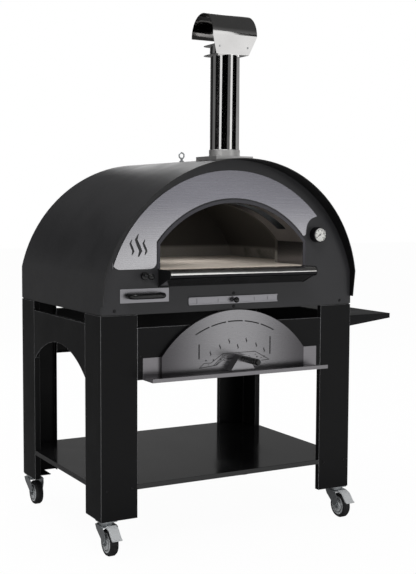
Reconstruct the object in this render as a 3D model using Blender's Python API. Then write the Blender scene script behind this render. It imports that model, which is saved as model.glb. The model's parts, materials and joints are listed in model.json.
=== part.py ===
"""Wood fired pizza oven on a wheeled stand, modelled in metres with +Z up.

The front (mouth) faces -Y, the side shelf is on +X, and the stand is centred on X = Y = 0
with the wheels on Z = 0. Every named object is one physical piece.
"""
import math

import bmesh
import bpy
from mathutils import Matrix, Vector
from mathutils.geometry import tessellate_polygon

for leftover in list(bpy.data.objects):
    bpy.data.objects.remove(leftover, do_unlink=True)

# ---- driving dimensions (metres) ----------------------------------------------------------
STAND_WIDTH = 1.098         # across the outer faces of the legs
STAND_DEPTH = 0.833
LEG_HEIGHT = 0.750          # folded leg, without the caster
CASTER_HEIGHT = 0.125       # floor to the underside of the leg
LEG_FACE = 0.145            # width of each outer face of a leg
LEG_LIP = 0.024
FOOT_PLATE = 0.090          # square plate welded in the foot of each leg
SHEET = 0.0025
GAP = 0.0003                # between two pieces that rest on each other
LOWER_SHELF_TOP = 0.125     # above the leg's foot
APRON_HEIGHT = 0.192
SIDE_ARCH_RISE = 0.098
SHELL_BOX_HEIGHT = 0.0047   # oven underside to the springing centre of the roof arc
ROOF_BULGE = 0.0145          # roof radius beyond half the stand width
ROOF_SHEET = 0.003
VISOR_LEAN = 0.1266         # forward lean of the roof's front edge per metre of height
MOUTH_HALF = 0.313
MOUTH_RADIUS = 0.398
MOUTH_SILL_HEIGHT = 0.158   # hearth top above the underside of the front panel
SILL_PROJECTION = 0.0955
FLUE_RADIUS = 0.056
FLUE_LENGTH = 0.4145
FLUE_SETBACK = 0.077        # flue axis behind the front panel
COWL_LENGTH = 0.190
COWL_RADIUS = 0.084
SIDE_SHELF_REACH = 0.323
SIDE_SHELF_LENGTH = 0.540
DRAWER_DEPTH = 0.310
WHEEL_RADIUS = 0.050
WHEEL_TRAIL = 0.030
CASTER_INSET = 0.0335        # swivel axis to the outer faces of its leg, plus half a millimetre
DOOR_HALF = 0.3125
DOOR_THICK = 0.014
CLEAR = 0.0015              # sliding clearance

# ---- derived positions --------------------------------------------------------------------
HALF_W = STAND_WIDTH / 2
HALF_D = STAND_DEPTH / 2
ROOF_RADIUS = HALF_W + ROOF_BULGE
LEG_FOOT = CASTER_HEIGHT
LEG_TOP = LEG_FOOT + LEG_HEIGHT
BAY_X = HALF_W - LEG_FACE
BAY_Y = HALF_D - LEG_FACE
OVEN_BASE = LEG_TOP + GAP
PANEL_BASE = OVEN_BASE + 0.0037
FRONT = -HALF_D
ARC_Z = PANEL_BASE + SHELL_BOX_HEIGHT
ROOF_INNER = ROOF_RADIUS - ROOF_SHEET
LINING = ROOF_INNER - GAP
HEARTH_TOP = PANEL_BASE + MOUTH_SILL_HEIGHT + 0.003
FLUE_Y = FRONT + FLUE_SETBACK
CROWN = ARC_Z + ROOF_RADIUS

# ---- materials ----------------------------------------------------------------------------
SATIN_BLACK = ((0.035, 0.035, 0.036), 0.45, 0.0)
GLOSS_BLACK = ((0.022, 0.022, 0.023), 0.18, 0.0)
STAINLESS = ((0.60, 0.60, 0.61), 0.28, 1.0)
POLISHED = ((0.72, 0.72, 0.72), 0.08, 1.0)
GALVANISED = ((0.45, 0.46, 0.47), 0.40, 1.0)
ZINC = ((0.55, 0.56, 0.57), 0.30, 1.0)
FIREBRICK = ((0.56, 0.45, 0.34), 0.90, 0.0)
SOOTED = ((0.10, 0.09, 0.08), 0.85, 0.0)
WOOL = ((0.62, 0.60, 0.52), 1.0, 0.0)
CAST_IRON = ((0.05, 0.05, 0.05), 0.60, 0.4)
BAKELITE = ((0.02, 0.02, 0.02), 0.22, 0.0)
RUBBER = ((0.045, 0.045, 0.047), 0.70, 0.0)
GREY_NYLON = ((0.42, 0.44, 0.46), 0.45, 0.0)
DIAL_WHITE = ((0.85, 0.85, 0.83), 0.40, 0.0)
LENS = ((0.90, 0.92, 0.92), 0.05, 0.0)


def finish(obj, finish_values):
    """Give the object its own Principled material."""
    colour, roughness, metallic = finish_values
    material = bpy.data.materials.new(obj.name + "_mat")
    material.use_nodes = True
    shader = material.node_tree.nodes["Principled BSDF"]
    shader.inputs["Base Color"].default_value = (*colour, 1.0)
    shader.inputs["Roughness"].default_value = roughness
    shader.inputs["Metallic"].default_value = metallic
    obj.data.materials.clear()
    obj.data.materials.append(material)


def add(name, verts, faces, finish_values=None):
    """One object from vertices and faces, normals outward."""
    mesh = bpy.data.meshes.new(name)
    mesh.from_pydata([tuple(v) for v in verts], [], [tuple(f) for f in faces])
    obj = bpy.data.objects.new(name, mesh)
    bpy.context.scene.collection.objects.link(obj)
    bm = bmesh.new()
    bm.from_mesh(mesh)
    bmesh.ops.remove_doubles(bm, verts=bm.verts, dist=0.00001)
    bmesh.ops.recalc_face_normals(bm, faces=bm.faces)
    bm.to_mesh(mesh)
    bm.free()
    if finish_values:
        finish(obj, finish_values)
    return obj


def place(axis, u, v, w):
    """A point of a profile (u, v) at distance w along the extrusion axis."""
    if axis == "X":
        return (w, u, v)
    if axis == "Y":
        return (u, w, v)
    return (u, v, w)


def prism(name, loops, axis, w0, w1, finish_values=None):
    """A flat outline with any number of holes, extruded along one axis.

    Profiles are (Y, Z) along X, (X, Z) along Y and (X, Y) along Z.
    """
    points = [p for loop in loops for p in loop]
    triangles = [tuple(range(len(points)))]
    if len(loops) > 1:
        triangles = tessellate_polygon([[Vector((p[0], p[1], 0.0)) for p in loop] for loop in loops])
    verts = [place(axis, p[0], p[1], w0) for p in points]
    verts += [place(axis, p[0], p[1], w1) for p in points]
    count = len(points)
    faces = [tuple(t) for t in triangles]
    faces += [tuple(i + count for i in reversed(t)) for t in triangles]
    start = 0
    for loop in loops:
        for i in range(len(loop)):
            a = start + i
            b = start + (i + 1) % len(loop)
            faces.append((a, b, b + count, a + count))
        start += len(loop)
    return add(name, verts, faces, finish_values)


def punches(name, outlines, axis, w0, w1):
    """Several separate outlines extruded as one cutter."""
    verts = []
    faces = []
    for outline in outlines:
        base = len(verts)
        count = len(outline)
        verts += [place(axis, p[0], p[1], w0) for p in outline]
        verts += [place(axis, p[0], p[1], w1) for p in outline]
        faces.append(tuple(range(base, base + count)))
        faces.append(tuple(reversed(range(base + count, base + 2 * count))))
        for i in range(count):
            j = (i + 1) % count
            faces.append((base + i, base + j, base + j + count, base + i + count))
    return add(name, verts, faces)


def box(name, x0, x1, y0, y1, z0, z1, finish_values=None):
    return prism(name, [[(x0, y0), (x1, y0), (x1, y1), (x0, y1)]], "Z", z0, z1, finish_values)


def arc(cx, cz, radius, a0, a1, count):
    """Points on an arc, angles in degrees, both ends included."""
    out = []
    for i in range(count + 1):
        a = math.radians(a0 + (a1 - a0) * i / count)
        out.append((cx + radius * math.cos(a), cz + radius * math.sin(a)))
    return out


def ring(cx, cz, radius, count):
    return arc(cx, cz, radius, 0, 360, count)[:-1]


def rounded(points, radii, count=5):
    """A polygon with each corner replaced by a round of the given radius."""
    out = []
    total = len(points)
    for i, corner in enumerate(points):
        radius = radii[i]
        here = Vector(corner)
        if radius <= 0:
            out.append(tuple(here))
            continue
        to_prev = (Vector(points[i - 1]) - here).normalized()
        to_next = (Vector(points[(i + 1) % total]) - here).normalized()
        half = to_prev.angle(to_next) / 2
        reach = radius / math.tan(half)
        centre = here + (to_prev + to_next).normalized() * (radius / math.sin(half))
        first = here + to_prev * reach - centre
        last = here + to_next * reach - centre
        turn = first.angle_signed(last)
        for k in range(count + 1):
            a = -turn * k / count
            c, s = math.cos(a), math.sin(a)
            out.append((centre.x + first.x * c - first.y * s, centre.y + first.x * s + first.y * c))
    return out


def lathe(name, profile, axis, origin, steps, finish_values=None):
    """A profile of (radius, height) turned about an axis through the origin.

    A profile that starts and ends on radius 0 closes as a solid, any other as a ring.
    """
    verts = []
    rows = []
    for radius, height in profile:
        row = []
        if radius == 0:
            row = [len(verts)] * steps
            verts.append((0.0, 0.0, height))
        else:
            for i in range(steps):
                a = 2 * math.pi * i / steps
                row.append(len(verts))
                verts.append((radius * math.cos(a), radius * math.sin(a), height))
        rows.append(row)
    faces = []
    closed = profile[0][0] != 0
    pairs = len(rows) if closed else len(rows) - 1
    for r in range(pairs):
        low = rows[r]
        high = rows[(r + 1) % len(rows)]
        for i in range(steps):
            j = (i + 1) % steps
            corners = []
            for v in (low[i], low[j], high[j], high[i]):
                if v not in corners:
                    corners.append(v)
            if len(corners) > 2:
                faces.append(tuple(corners))
    turned = []
    for x, y, z in verts:
        if axis == "X":
            turned.append((origin[0] + z, origin[1] + x, origin[2] + y))
        elif axis == "Y":
            turned.append((origin[0] + y, origin[1] + z, origin[2] + x))
        else:
            turned.append((origin[0] + x, origin[1] + y, origin[2] + z))
    return add(name, turned, faces, finish_values)


def rod(name, radius, axis, origin, length, steps, finish_values=None):
    profile = [(0, 0), (radius, 0), (radius, length), (0, length)]
    return lathe(name, profile, axis, origin, steps, finish_values)


def combine(target, others, operation):
    """Union with, or cut by, each of the other solids, which are then removed."""
    for other in others:
        other.hide_render = True
        other.display_type = "WIRE"
        modifier = target.modifiers.new("solid", "BOOLEAN")
        modifier.solver = "EXACT"
        modifier.operation = operation
        modifier.object = other
        depsgraph = bpy.context.evaluated_depsgraph_get()
        mesh = bpy.data.meshes.new_from_object(target.evaluated_get(depsgraph))
        target.modifiers.clear()
        target.data = mesh
        bpy.data.objects.remove(other, do_unlink=True)
    return target


def cut(target, *others):
    return combine(target, others, "DIFFERENCE")


def join(target, *others):
    return combine(target, others, "UNION")


def own(obj, finish_values):
    """Settle a solid made by Booleans: weld, face outward, one material."""
    bm = bmesh.new()
    bm.from_mesh(obj.data)
    bmesh.ops.remove_doubles(bm, verts=bm.verts, dist=0.00001)
    bmesh.ops.dissolve_degenerate(bm, edges=bm.edges, dist=0.00001)
    bmesh.ops.recalc_face_normals(bm, faces=bm.faces)
    bm.to_mesh(obj.data)
    bm.free()
    obj.data.name = obj.name
    finish(obj, finish_values)
    return obj


def smooth(obj, degrees=32):
    """Shade a round piece smooth and keep its real edges sharp."""
    obj.data.shade_smooth()
    obj.data.set_sharp_from_angle(angle=math.radians(degrees))
    return obj


def set_axis(obj, point):
    """Move the object's origin onto its joint axis."""
    shift = Vector(point)
    obj.data.transform(Matrix.Translation(-shift))
    obj.location = shift
    return obj


# ---- stand: four folded legs ---------------------------------------------------------------
def leg(name, sx, sy):
    """A folded angle with two return lips and a welded foot plate."""
    near = LEG_FACE - SHEET
    outline = [(0, 0), (LEG_FACE, 0), (LEG_FACE, LEG_LIP), (near, LEG_LIP), (near, SHEET),
               (SHEET, SHEET), (SHEET, near), (LEG_LIP, near), (LEG_LIP, LEG_FACE), (0, LEG_FACE)]
    corners = [(sx * (HALF_W - u), sy * (HALF_D - v)) for u, v in outline]
    body = prism(name, [corners], "Z", LEG_FOOT, LEG_TOP)
    xs = sorted((sx * (HALF_W - SHEET / 2), sx * (HALF_W - FOOT_PLATE)))
    ys = sorted((sy * (HALF_D - SHEET / 2), sy * (HALF_D - FOOT_PLATE)))
    foot = box(name + "_foot", xs[0], xs[1], ys[0], ys[1], LEG_FOOT, LEG_FOOT + 0.003)
    return own(join(body, foot), SATIN_BLACK)


leg("leg_front_left", -1, -1)
leg("leg_front_right", 1, -1)
leg("leg_back_left", -1, 1)
leg("leg_back_right", 1, 1)


# ---- stand: aprons between the legs --------------------------------------------------------
APRON_TOP = LEG_TOP - 0.048
APRON_FLANGE = 0.022


def apron(name, sy):
    """A pan-shaped apron, open to the inside of the stand."""
    half = BAY_X - GAP
    low = APRON_TOP - APRON_HEIGHT
    y_out = sy * HALF_D
    y_in = sy * (HALF_D - APRON_FLANGE)
    body = box(name, -half, half, min(y_out, y_in), max(y_out, y_in), low, APRON_TOP)
    y_skin = sy * (HALF_D - SHEET)
    y_past = sy * (HALF_D - APRON_FLANGE - 0.01)
    hollow = box(name + "_cut", -half + SHEET, half - SHEET, min(y_skin, y_past), max(y_skin, y_past),
                 low + SHEET, APRON_TOP - SHEET)
    return own(cut(body, hollow), SATIN_BLACK)


apron("front_apron", -1)
apron("back_apron", 1)

# ---- stand: side panels with an arched lower edge ------------------------------------------
PANEL_TOP = LEG_TOP - 0.038
PANEL_LOW = LEG_TOP - 0.240
SPAN = BAY_Y - GAP
ARCH_RADIUS = (SPAN ** 2 + SIDE_ARCH_RISE ** 2) / (2 * SIDE_ARCH_RISE)
ARCH_CENTRE = PANEL_LOW + SIDE_ARCH_RISE - ARCH_RADIUS
ARCH_ANGLE = math.degrees(math.asin(SPAN / ARCH_RADIUS))


def side_panel(name, sx):
    """Flat sheet with an arched lower edge, folded inward at both ends and along the top."""
    edge = arc(0, ARCH_CENTRE, ARCH_RADIUS, 90 + ARCH_ANGLE, 90 - ARCH_ANGLE, 24)
    outline = [(-SPAN, PANEL_TOP)] + edge + [(SPAN, PANEL_TOP)]
    outer = sorted((sx * HALF_W, sx * (HALF_W - SHEET)))
    body = prism(name, [outline], "X", outer[0], outer[1])
    fold = sorted((sx * (HALF_W - SHEET / 2), sx * (HALF_W - 0.020)))
    for y0, y1 in ((-SPAN, -SPAN + SHEET), (SPAN - SHEET, SPAN)):
        flange = box(name + "_fold", fold[0], fold[1], y0, y1, PANEL_LOW + 0.004, PANEL_TOP)
        body = join(body, flange)
    top = box(name + "_top", fold[0], fold[1], -SPAN + SHEET / 2, SPAN - SHEET / 2,
              PANEL_TOP - SHEET, PANEL_TOP)
    body = join(body, top)
    return own(body, SATIN_BLACK)


side_panel("side_panel_left", -1)
side_panel("side_panel_right", 1)

# ---- stand: lower shelf --------------------------------------------------------------------
SHELF_TOP = LEG_FOOT + LOWER_SHELF_TOP
SHELF_EDGE = 0.019


def stepped(inset):
    """The shelf outline, whose corners step round the lips of the legs, drawn inward by the inset."""
    edge_x = HALF_W - inset
    edge_y = HALF_D - inset
    bay_x = BAY_X - GAP - inset
    bay_y = BAY_Y - GAP - inset
    lip_x = HALF_W - LEG_LIP - GAP - inset
    lip_y = HALF_D - LEG_LIP - GAP - inset
    outline = []
    for sx, sy in ((1, -1), (1, 1), (-1, 1), (-1, -1)):
        corner = [(sx * bay_x, sy * edge_y), (sx * bay_x, sy * lip_y), (sx * lip_x, sy * lip_y),
                  (sx * lip_x, sy * bay_y), (sx * edge_x, sy * bay_y)]
        outline += corner if sx * sy < 0 else corner[::-1]
    return outline


plate = prism("lower_shelf", [stepped(0.0)], "Z", SHELF_TOP - SHELF_EDGE, SHELF_TOP)
pocket = prism("shelf_cut", [stepped(SHEET)], "Z", SHELF_TOP - SHELF_EDGE - 0.01, SHELF_TOP - SHEET)
own(cut(plate, pocket), GLOSS_BLACK)

# ---- side shelf on the right ---------------------------------------------------------------
TRAY_TOP = LEG_TOP - 0.065
TRAY_X0 = HALF_W + GAP
TRAY_X1 = HALF_W + SIDE_SHELF_REACH
TRAY_Y = SIDE_SHELF_LENGTH / 2
skirt = [(TRAY_X0, TRAY_TOP), (TRAY_X0, TRAY_TOP - 0.057), (TRAY_X1, TRAY_TOP - 0.020),
         (TRAY_X1, TRAY_TOP)]
shelf = prism("side_shelf", [skirt], "Y", -TRAY_Y, TRAY_Y)
under = [(TRAY_X0 + SHEET, TRAY_TOP - SHEET), (TRAY_X0 + SHEET, TRAY_TOP - 0.090),
         (TRAY_X1 - SHEET, TRAY_TOP - 0.050), (TRAY_X1 - SHEET, TRAY_TOP - SHEET)]
own(cut(shelf, prism("side_cut", [under], "Y", -TRAY_Y + SHEET, TRAY_Y - SHEET)), SATIN_BLACK)

# ---- door holder on the front apron --------------------------------------------------------
HOLDER_HALF = DOOR_HALF + 0.0705
HOLDER_LOW = APRON_TOP - APRON_HEIGHT
HOLDER_SHEET = 0.002
HOLDER_BACK = FRONT - GAP
HOLDER_FRONT = FRONT - 0.0834
LIP_TOP = HOLDER_LOW + 0.0145
HOLDER_BACK_HEIGHT = 0.080
holder = [(HOLDER_BACK, HOLDER_LOW), (HOLDER_BACK, HOLDER_LOW + HOLDER_BACK_HEIGHT),
          (HOLDER_BACK - HOLDER_SHEET, HOLDER_LOW + HOLDER_BACK_HEIGHT),
          (HOLDER_BACK - HOLDER_SHEET, HOLDER_LOW + HOLDER_SHEET),
          (HOLDER_FRONT + HOLDER_SHEET, HOLDER_LOW + HOLDER_SHEET),
          (HOLDER_FRONT + HOLDER_SHEET, LIP_TOP), (HOLDER_FRONT, LIP_TOP), (HOLDER_FRONT, HOLDER_LOW)]
prism("door_holder", [holder], "X", -HOLDER_HALF, HOLDER_HALF, STAINLESS)

# ---- door, stored standing in its holder ---------------------------------------------------
DOOR_LOW = HOLDER_LOW + HOLDER_SHEET + GAP
DOOR_BACK = HOLDER_BACK - HOLDER_SHEET - GAP
DOOR_FACE = DOOR_BACK - DOOR_THICK
DOOR_SHEET = 0.0018
DOOR_SIDE = 0.079
DOOR_RISE = 0.161
DOOR_RADIUS = (DOOR_HALF ** 2 + DOOR_RISE ** 2) / (2 * DOOR_RISE)
DOOR_CENTRE = DOOR_LOW + DOOR_SIDE + DOOR_RISE - DOOR_RADIUS


def door_outline(inset):
    """Door outline, straight below and round above, drawn inward by the inset."""
    half = DOOR_HALF - inset
    radius = DOOR_RADIUS - inset
    reach = math.degrees(math.asin(half / radius))
    return [(-half, DOOR_LOW + inset)] + [(half, DOOR_LOW + inset)] + arc(
        0, DOOR_CENTRE, radius, 90 - reach, 90 + reach, 32)


def slot(x0, x1, z0, z1):
    """An upright slot with rounded ends."""
    radius = (x1 - x0) / 2
    middle = (x0 + x1) / 2
    return arc(middle, z1 - radius, radius, 0, 180, 2) + arc(middle, z0 + radius, radius, 180, 360, 2)


def arc_slot(centre_z, radius, width, a0, a1):
    """A slot that follows an arc."""
    outer = arc(0, centre_z, radius + width / 2, a0, a1, 4)
    inner = arc(0, centre_z, radius - width / 2, a1, a0, 4)
    return outer + inner


def flare(x, z, height, width):
    """A leaning, tapered slot like a small tongue of fire."""
    right = []
    left = []
    for k in range(5):
        s = k / 4
        bend = 0.22 * height * math.sin(2.0 * math.pi * s)
        half = width * (math.sin(math.pi * (0.12 + 0.82 * s)) * 0.5)
        right.append((x + bend * 0.5 + half, z + height * s))
        left.append((x + bend * 0.5 - half, z + height * s))
    return right + left[::-1]


holes = []
CROWN_SLOTS = 5
CROWN_SLOT_RADIUS = 0.358
CROWN_SLOT_STEP = 11.8
for k in range(CROWN_SLOTS):
    start = 90 + CROWN_SLOT_STEP * (CROWN_SLOTS / 2 - k) - 0.5
    holes.append(arc_slot(DOOR_LOW + 0.198 - CROWN_SLOT_RADIUS, CROWN_SLOT_RADIUS, 0.0045,
                          start - CROWN_SLOT_STEP + 1.4, start))
holes.append(slot(-0.1605, -0.1555, DOOR_LOW + 0.060, DOOR_LOW + 0.118))
holes.append(slot(0.1525, 0.1575, DOOR_LOW + 0.060, DOOR_LOW + 0.132))
for x, z in ((-0.109, 0.070), (-0.068, 0.093), (-0.028, 0.112), (0.010, 0.090), (0.048, 0.112),
             (0.092, 0.092), (0.128, 0.070)):
    holes.append(flare(x, DOOR_LOW + z, 0.020, 0.0050))
for k in range(9):
    holes.append(ring(-0.128 + 0.032 * k, DOOR_LOW + 0.054, 0.0034, 6))
door = prism("door_panel", [door_outline(0.0)], "Y", DOOR_FACE, DOOR_BACK)
door = cut(door, prism("door_hollow", [door_outline(DOOR_SHEET)], "Y", DOOR_FACE + DOOR_SHEET,
                       DOOR_BACK + 0.01))
own(cut(door, punches("door_punches", holes, "Y", DOOR_FACE - 0.01, DOOR_FACE + DOOR_SHEET + 0.004)),
    STAINLESS)

# ---- door handle: triangular folded bracket and ribbed grip --------------------------------
HANDLE_X = 0.012
HANDLE_TOP = DOOR_LOW + 0.072
BRACKET_FRONT = DOOR_FACE - GAP - 0.038
tri = [(HANDLE_X - 0.054, LIP_TOP + 0.0015), (HANDLE_X + 0.054, LIP_TOP + 0.0015),
       (HANDLE_X + 0.013, HANDLE_TOP), (HANDLE_X - 0.013, HANDLE_TOP)]
tri_in = [(HANDLE_X - 0.0505, LIP_TOP - 0.010), (HANDLE_X + 0.0505, LIP_TOP - 0.010),
          (HANDLE_X + 0.0115, HANDLE_TOP - 0.002), (HANDLE_X - 0.0115, HANDLE_TOP - 0.002)]
bracket = prism("door_handle_bracket", [tri], "Y", BRACKET_FRONT, DOOR_FACE - GAP)
own(cut(bracket, prism("tri_cut", [tri_in], "Y", BRACKET_FRONT + 0.002, DOOR_FACE + 0.01)), STAINLESS)
grip_profile = [(0, 0), (0.0105, 0)]
for k in range(6):
    base = 0.004 + 0.0165 * k
    grip_profile += [(0.0122, base), (0.0122, base + 0.0110), (0.0106, base + 0.0130)]
grip_profile += [(0.0118, 0.104), (0.0095, 0.110), (0, 0.112)]
grip_profile = [(r, -z) for r, z in grip_profile]
GRIP_Z = HANDLE_TOP - 0.0150
smooth(lathe("door_handle_grip", grip_profile, "Y", (HANDLE_X, BRACKET_FRONT - GAP, GRIP_Z), 16,
             BAKELITE))

# ---- oven: base pan ------------------------------------------------------------------------
PAN_X = HALF_W - ROOF_SHEET - GAP
PAN_Y = HALF_D - SHEET - GAP
PAN_TOP = OVEN_BASE + 0.0025
pan = box("base_pan", -PAN_X, PAN_X, -PAN_Y, PAN_Y, OVEN_BASE, OVEN_BASE + 0.020)
own(cut(pan, box("pan_cut", -PAN_X + SHEET, PAN_X - SHEET, -PAN_Y + SHEET, PAN_Y - SHEET,
                 PAN_TOP, OVEN_BASE + 0.05)), SATIN_BLACK)


# ---- oven: roof shell ----------------------------------------------------------------------
def arch(half, radius, low, count):
    """Upright sides that run into a round top about the roof centre."""
    reach = math.degrees(math.acos(half / radius))
    return arc(0, ARC_Z, radius, reach, 180 - reach, count) + [(-half, low), (half, low)]


ROOF_LOW = PANEL_BASE
VISOR_STEP = PANEL_BASE + 0.030
VISOR_FOOT = FRONT - 0.0190
VISOR_TOP_Z = CROWN + 0.05
VISOR_TOP_Y = VISOR_FOOT - VISOR_LEAN * (VISOR_TOP_Z - VISOR_STEP)
FRONT_PAST = FRONT - 0.3
roof = prism("outer_shell", [arch(HALF_W, ROOF_RADIUS, ROOF_LOW, 56)], "Y", FRONT_PAST, HALF_D)
roof = cut(roof, prism("roof_in", [arch(HALF_W - ROOF_SHEET, ROOF_INNER, ROOF_LOW - 0.05, 56)], "Y",
                       FRONT_PAST - 0.1, HALF_D + 0.1))
front_trim = [(FRONT_PAST - 0.1, ROOF_LOW - 0.1), (FRONT, ROOF_LOW - 0.1), (FRONT, VISOR_STEP),
              (VISOR_FOOT, VISOR_STEP), (VISOR_TOP_Y, VISOR_TOP_Z), (FRONT_PAST - 0.1, VISOR_TOP_Z)]
roof = cut(roof, prism("roof_front", [front_trim], "X", -1.0, 1.0))
flue_hole = rod("flue_hole", FLUE_RADIUS - 0.0047, "Z", (0, FLUE_Y, CROWN - 0.1), 0.2, 32)
roof = cut(roof, flue_hole)
smooth(own(roof, SATIN_BLACK), 30)

# ---- oven: front and back panels -----------------------------------------------------------
PANEL_BACK = FRONT + SHEET
SLEEVE = 0.002
MOUTH_Z0 = HEARTH_TOP + GAP


def mouth(inset, low):
    """Mouth outline grown outward by a negative inset, open to any lower edge."""
    return arch(MOUTH_HALF - inset, MOUTH_RADIUS - inset, low, 32)


DRAWER_WIDTH = 0.197
DRAWER_X0 = -(HALF_W - 0.075)
DRAWER_X1 = DRAWER_X0 + DRAWER_WIDTH
DRAWER_Z0 = PANEL_BASE + 0.040
DRAWER_Z1 = PANEL_BASE + 0.091
DRAWER_INSET = 0.012
AIR_Z0 = PANEL_BASE + 0.022
AIR_Z1 = PANEL_BASE + 0.051
AIR_HALF = 0.195
AIR_MID = (AIR_Z0 + AIR_Z1) / 2
ROD_X = (DRAWER_X0 + DRAWER_X1) / 2 - 0.0015
ROD_Z = PANEL_BASE + 0.137
drawer_gate = [(DRAWER_X0 + DRAWER_INSET - CLEAR, DRAWER_Z0 + 0.006 - CLEAR),
               (DRAWER_X1 - DRAWER_INSET + CLEAR, DRAWER_Z0 + 0.006 - CLEAR),
               (DRAWER_X1 - DRAWER_INSET + CLEAR, DRAWER_Z1 - 0.006 + CLEAR),
               (DRAWER_X0 + DRAWER_INSET - CLEAR, DRAWER_Z1 - 0.006 + CLEAR)]


AIR_PORTS = (-0.110, -0.050, 0.050, 0.110)
PORT_HALF = 0.013
PORT_RISE = 0.006
AIR_STROKE = 0.028          # the slide opens its ports when it moves this far to the left


def air_ports(shift):
    """Four air ports side by side."""
    ports = []
    for port in AIR_PORTS:
        x0 = port + shift - PORT_HALF
        x1 = port + shift + PORT_HALF
        z0 = AIR_MID - PORT_RISE
        z1 = AIR_MID + PORT_RISE
        ports.append([(x0, z0), (x1, z0), (x1, z1), (x0, z1)])
    return ports


MOUTH_LOW = HEARTH_TOP - 0.026
panel_loops = [arch(HALF_W - ROOF_SHEET - GAP, LINING, PANEL_BASE, 56),
               mouth(-SLEEVE - GAP, MOUTH_LOW - GAP), drawer_gate, ring(ROD_X, ROD_Z, 0.0048, 12)]
panel_loops += air_ports(0.0)
prism("front_panel", panel_loops, "Y", FRONT, PANEL_BACK, SATIN_BLACK)
prism("back_panel", [arch(HALF_W - ROOF_SHEET - GAP, LINING, PANEL_BASE, 56)], "Y",
      HALF_D - SHEET, HALF_D, SATIN_BLACK)

# ---- oven: brushed trim plate round the mouth ----------------------------------------------
PLATE_BACK = FRONT - GAP
PLATE_FACE = PLATE_BACK - 0.002
PLATE_CX = -0.008
PLATE_R = ROOF_RADIUS - 0.0435
PLATE_IN = MOUTH_RADIUS + 0.0175
PLATE_LOW = PANEL_BASE + 0.161
GAUGE_X = MOUTH_HALF + 0.063
GAUGE_Z = PANEL_BASE + 0.279
SCALLOP_R = 0.050
SCALLOP_X = GAUGE_X + 0.003
SCALLOP_Z = GAUGE_Z + 0.020
LEG_X0 = -(PLATE_R - 0.0165)
LEG_X1 = -(MOUTH_HALF + 0.0145)


outer_start = math.degrees(math.acos((SCALLOP_X - PLATE_CX) / PLATE_R))
outer_end = 180 - math.degrees(math.acos((PLATE_CX - LEG_X0) / PLATE_R))
inner_start = 180 - math.degrees(math.acos(-LEG_X1 / PLATE_IN))
inner_end = math.degrees(math.acos((MOUTH_HALF - 0.0055) / PLATE_IN))
outline = arc(PLATE_CX, ARC_Z, PLATE_R, outer_start, outer_end, 36)
outline += arc(LEG_X0 + 0.030, PLATE_LOW + 0.030, 0.030, 180, 270, 8)
outline += arc(LEG_X1 - 0.026, PLATE_LOW + 0.026, 0.026, 270, 360, 8)
outline += arc(0, ARC_Z, PLATE_IN, inner_start, inner_end, 32)
TIP_X = MOUTH_HALF + 0.0045
TIP_Z = SCALLOP_Z - 0.013
outline += arc(TIP_X, TIP_Z, 0.0105, 215, 345, 6)
outline += arc(SCALLOP_X, SCALLOP_Z, SCALLOP_R, 178, 96, 10)
flames = []
FLARE_MID = (LEG_X0 + LEG_X1) / 2 + 0.0145
for shift, z, height, width in ((-0.026, 0.052, 0.056, 0.010), (0.0, 0.046, 0.082, 0.014),
                                (0.026, 0.052, 0.056, 0.010)):
    flames.append(flare(FLARE_MID + shift, PLATE_LOW + z, height, width))
prism("trim_plate", [outline] + flames, "Y", PLATE_FACE, PLATE_BACK, STAINLESS)

# ---- oven: mouth sleeve with its smoke slot ------------------------------------------------
SLEEVE_END = FRONT + 0.181
LIP_OUT = 0.0125
sleeve = prism("mouth_sleeve", [mouth(-SLEEVE, MOUTH_LOW)], "Y", FRONT - GAP - 0.001, SLEEVE_END)
ring_lip = prism("lip", [mouth(-LIP_OUT, HEARTH_TOP - 0.001)], "Y", FRONT - GAP - SLEEVE, FRONT - GAP)
sleeve = join(sleeve, ring_lip)
sleeve = cut(sleeve, prism("throat", [mouth(0, MOUTH_LOW - 0.1)], "Y", FRONT - 0.1, SLEEVE_END + 0.1))
sleeve = cut(sleeve, box("below_lip", -1.0, 1.0, FRONT - 0.1, FRONT, MOUTH_LOW - 0.1, HEARTH_TOP - 0.001))
slot_sector = arc(0, ARC_Z, MOUTH_RADIUS - 0.02, 48, 132, 20) + arc(0, ARC_Z, MOUTH_RADIUS + 0.02,
                                                                    132, 48, 20)
SMOKE_Y0 = FLUE_Y - 0.030
SMOKE_Y1 = FLUE_Y + 0.035
sleeve = cut(sleeve, prism("smoke_slot", [slot_sector], "Y", SMOKE_Y0, SMOKE_Y1))
smooth(own(sleeve, STAINLESS), 30)

# ---- oven: smoke hood between the sleeve and the flue --------------------------------------
HOOD_IN = MOUTH_RADIUS + SLEEVE + GAP
HOOD_OUT = HOOD_IN + 0.042


def sector(r0, r1, a0, a1, count):
    """A piece of ring, with finer steps on its inner arc so it clears what it lies on."""
    return arc(0, ARC_Z, r1, a0, a1, count) + arc(0, ARC_Z, r0, a1, a0, 2 * count)


hood = prism("smoke_hood", [sector(HOOD_IN, HOOD_OUT, 42, 138, 20)], "Y", FLUE_Y - 0.062, FLUE_Y + 0.062)
stack = rod("stack", FLUE_RADIUS - 0.003, "Z", (0, FLUE_Y, ARC_Z + HOOD_OUT - 0.02), 0.2, 24)
hood = join(hood, stack)
hood = cut(hood, prism("above", [sector(LINING, LINING + 0.2, 60, 120, 20)], "Y", FLUE_Y - 0.2, FLUE_Y + 0.2))
hood = cut(hood, prism("hood_in", [sector(HOOD_IN - 0.01, HOOD_OUT - 0.002, 43, 137, 20)], "Y",
                       FLUE_Y - 0.060, FLUE_Y + 0.060))
hood = cut(hood, rod("stack_in", FLUE_RADIUS - 0.005, "Z", (0, FLUE_Y, ARC_Z + HOOD_OUT - 0.03), 0.3, 24))
smooth(own(hood, GALVANISED), 30)

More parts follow.
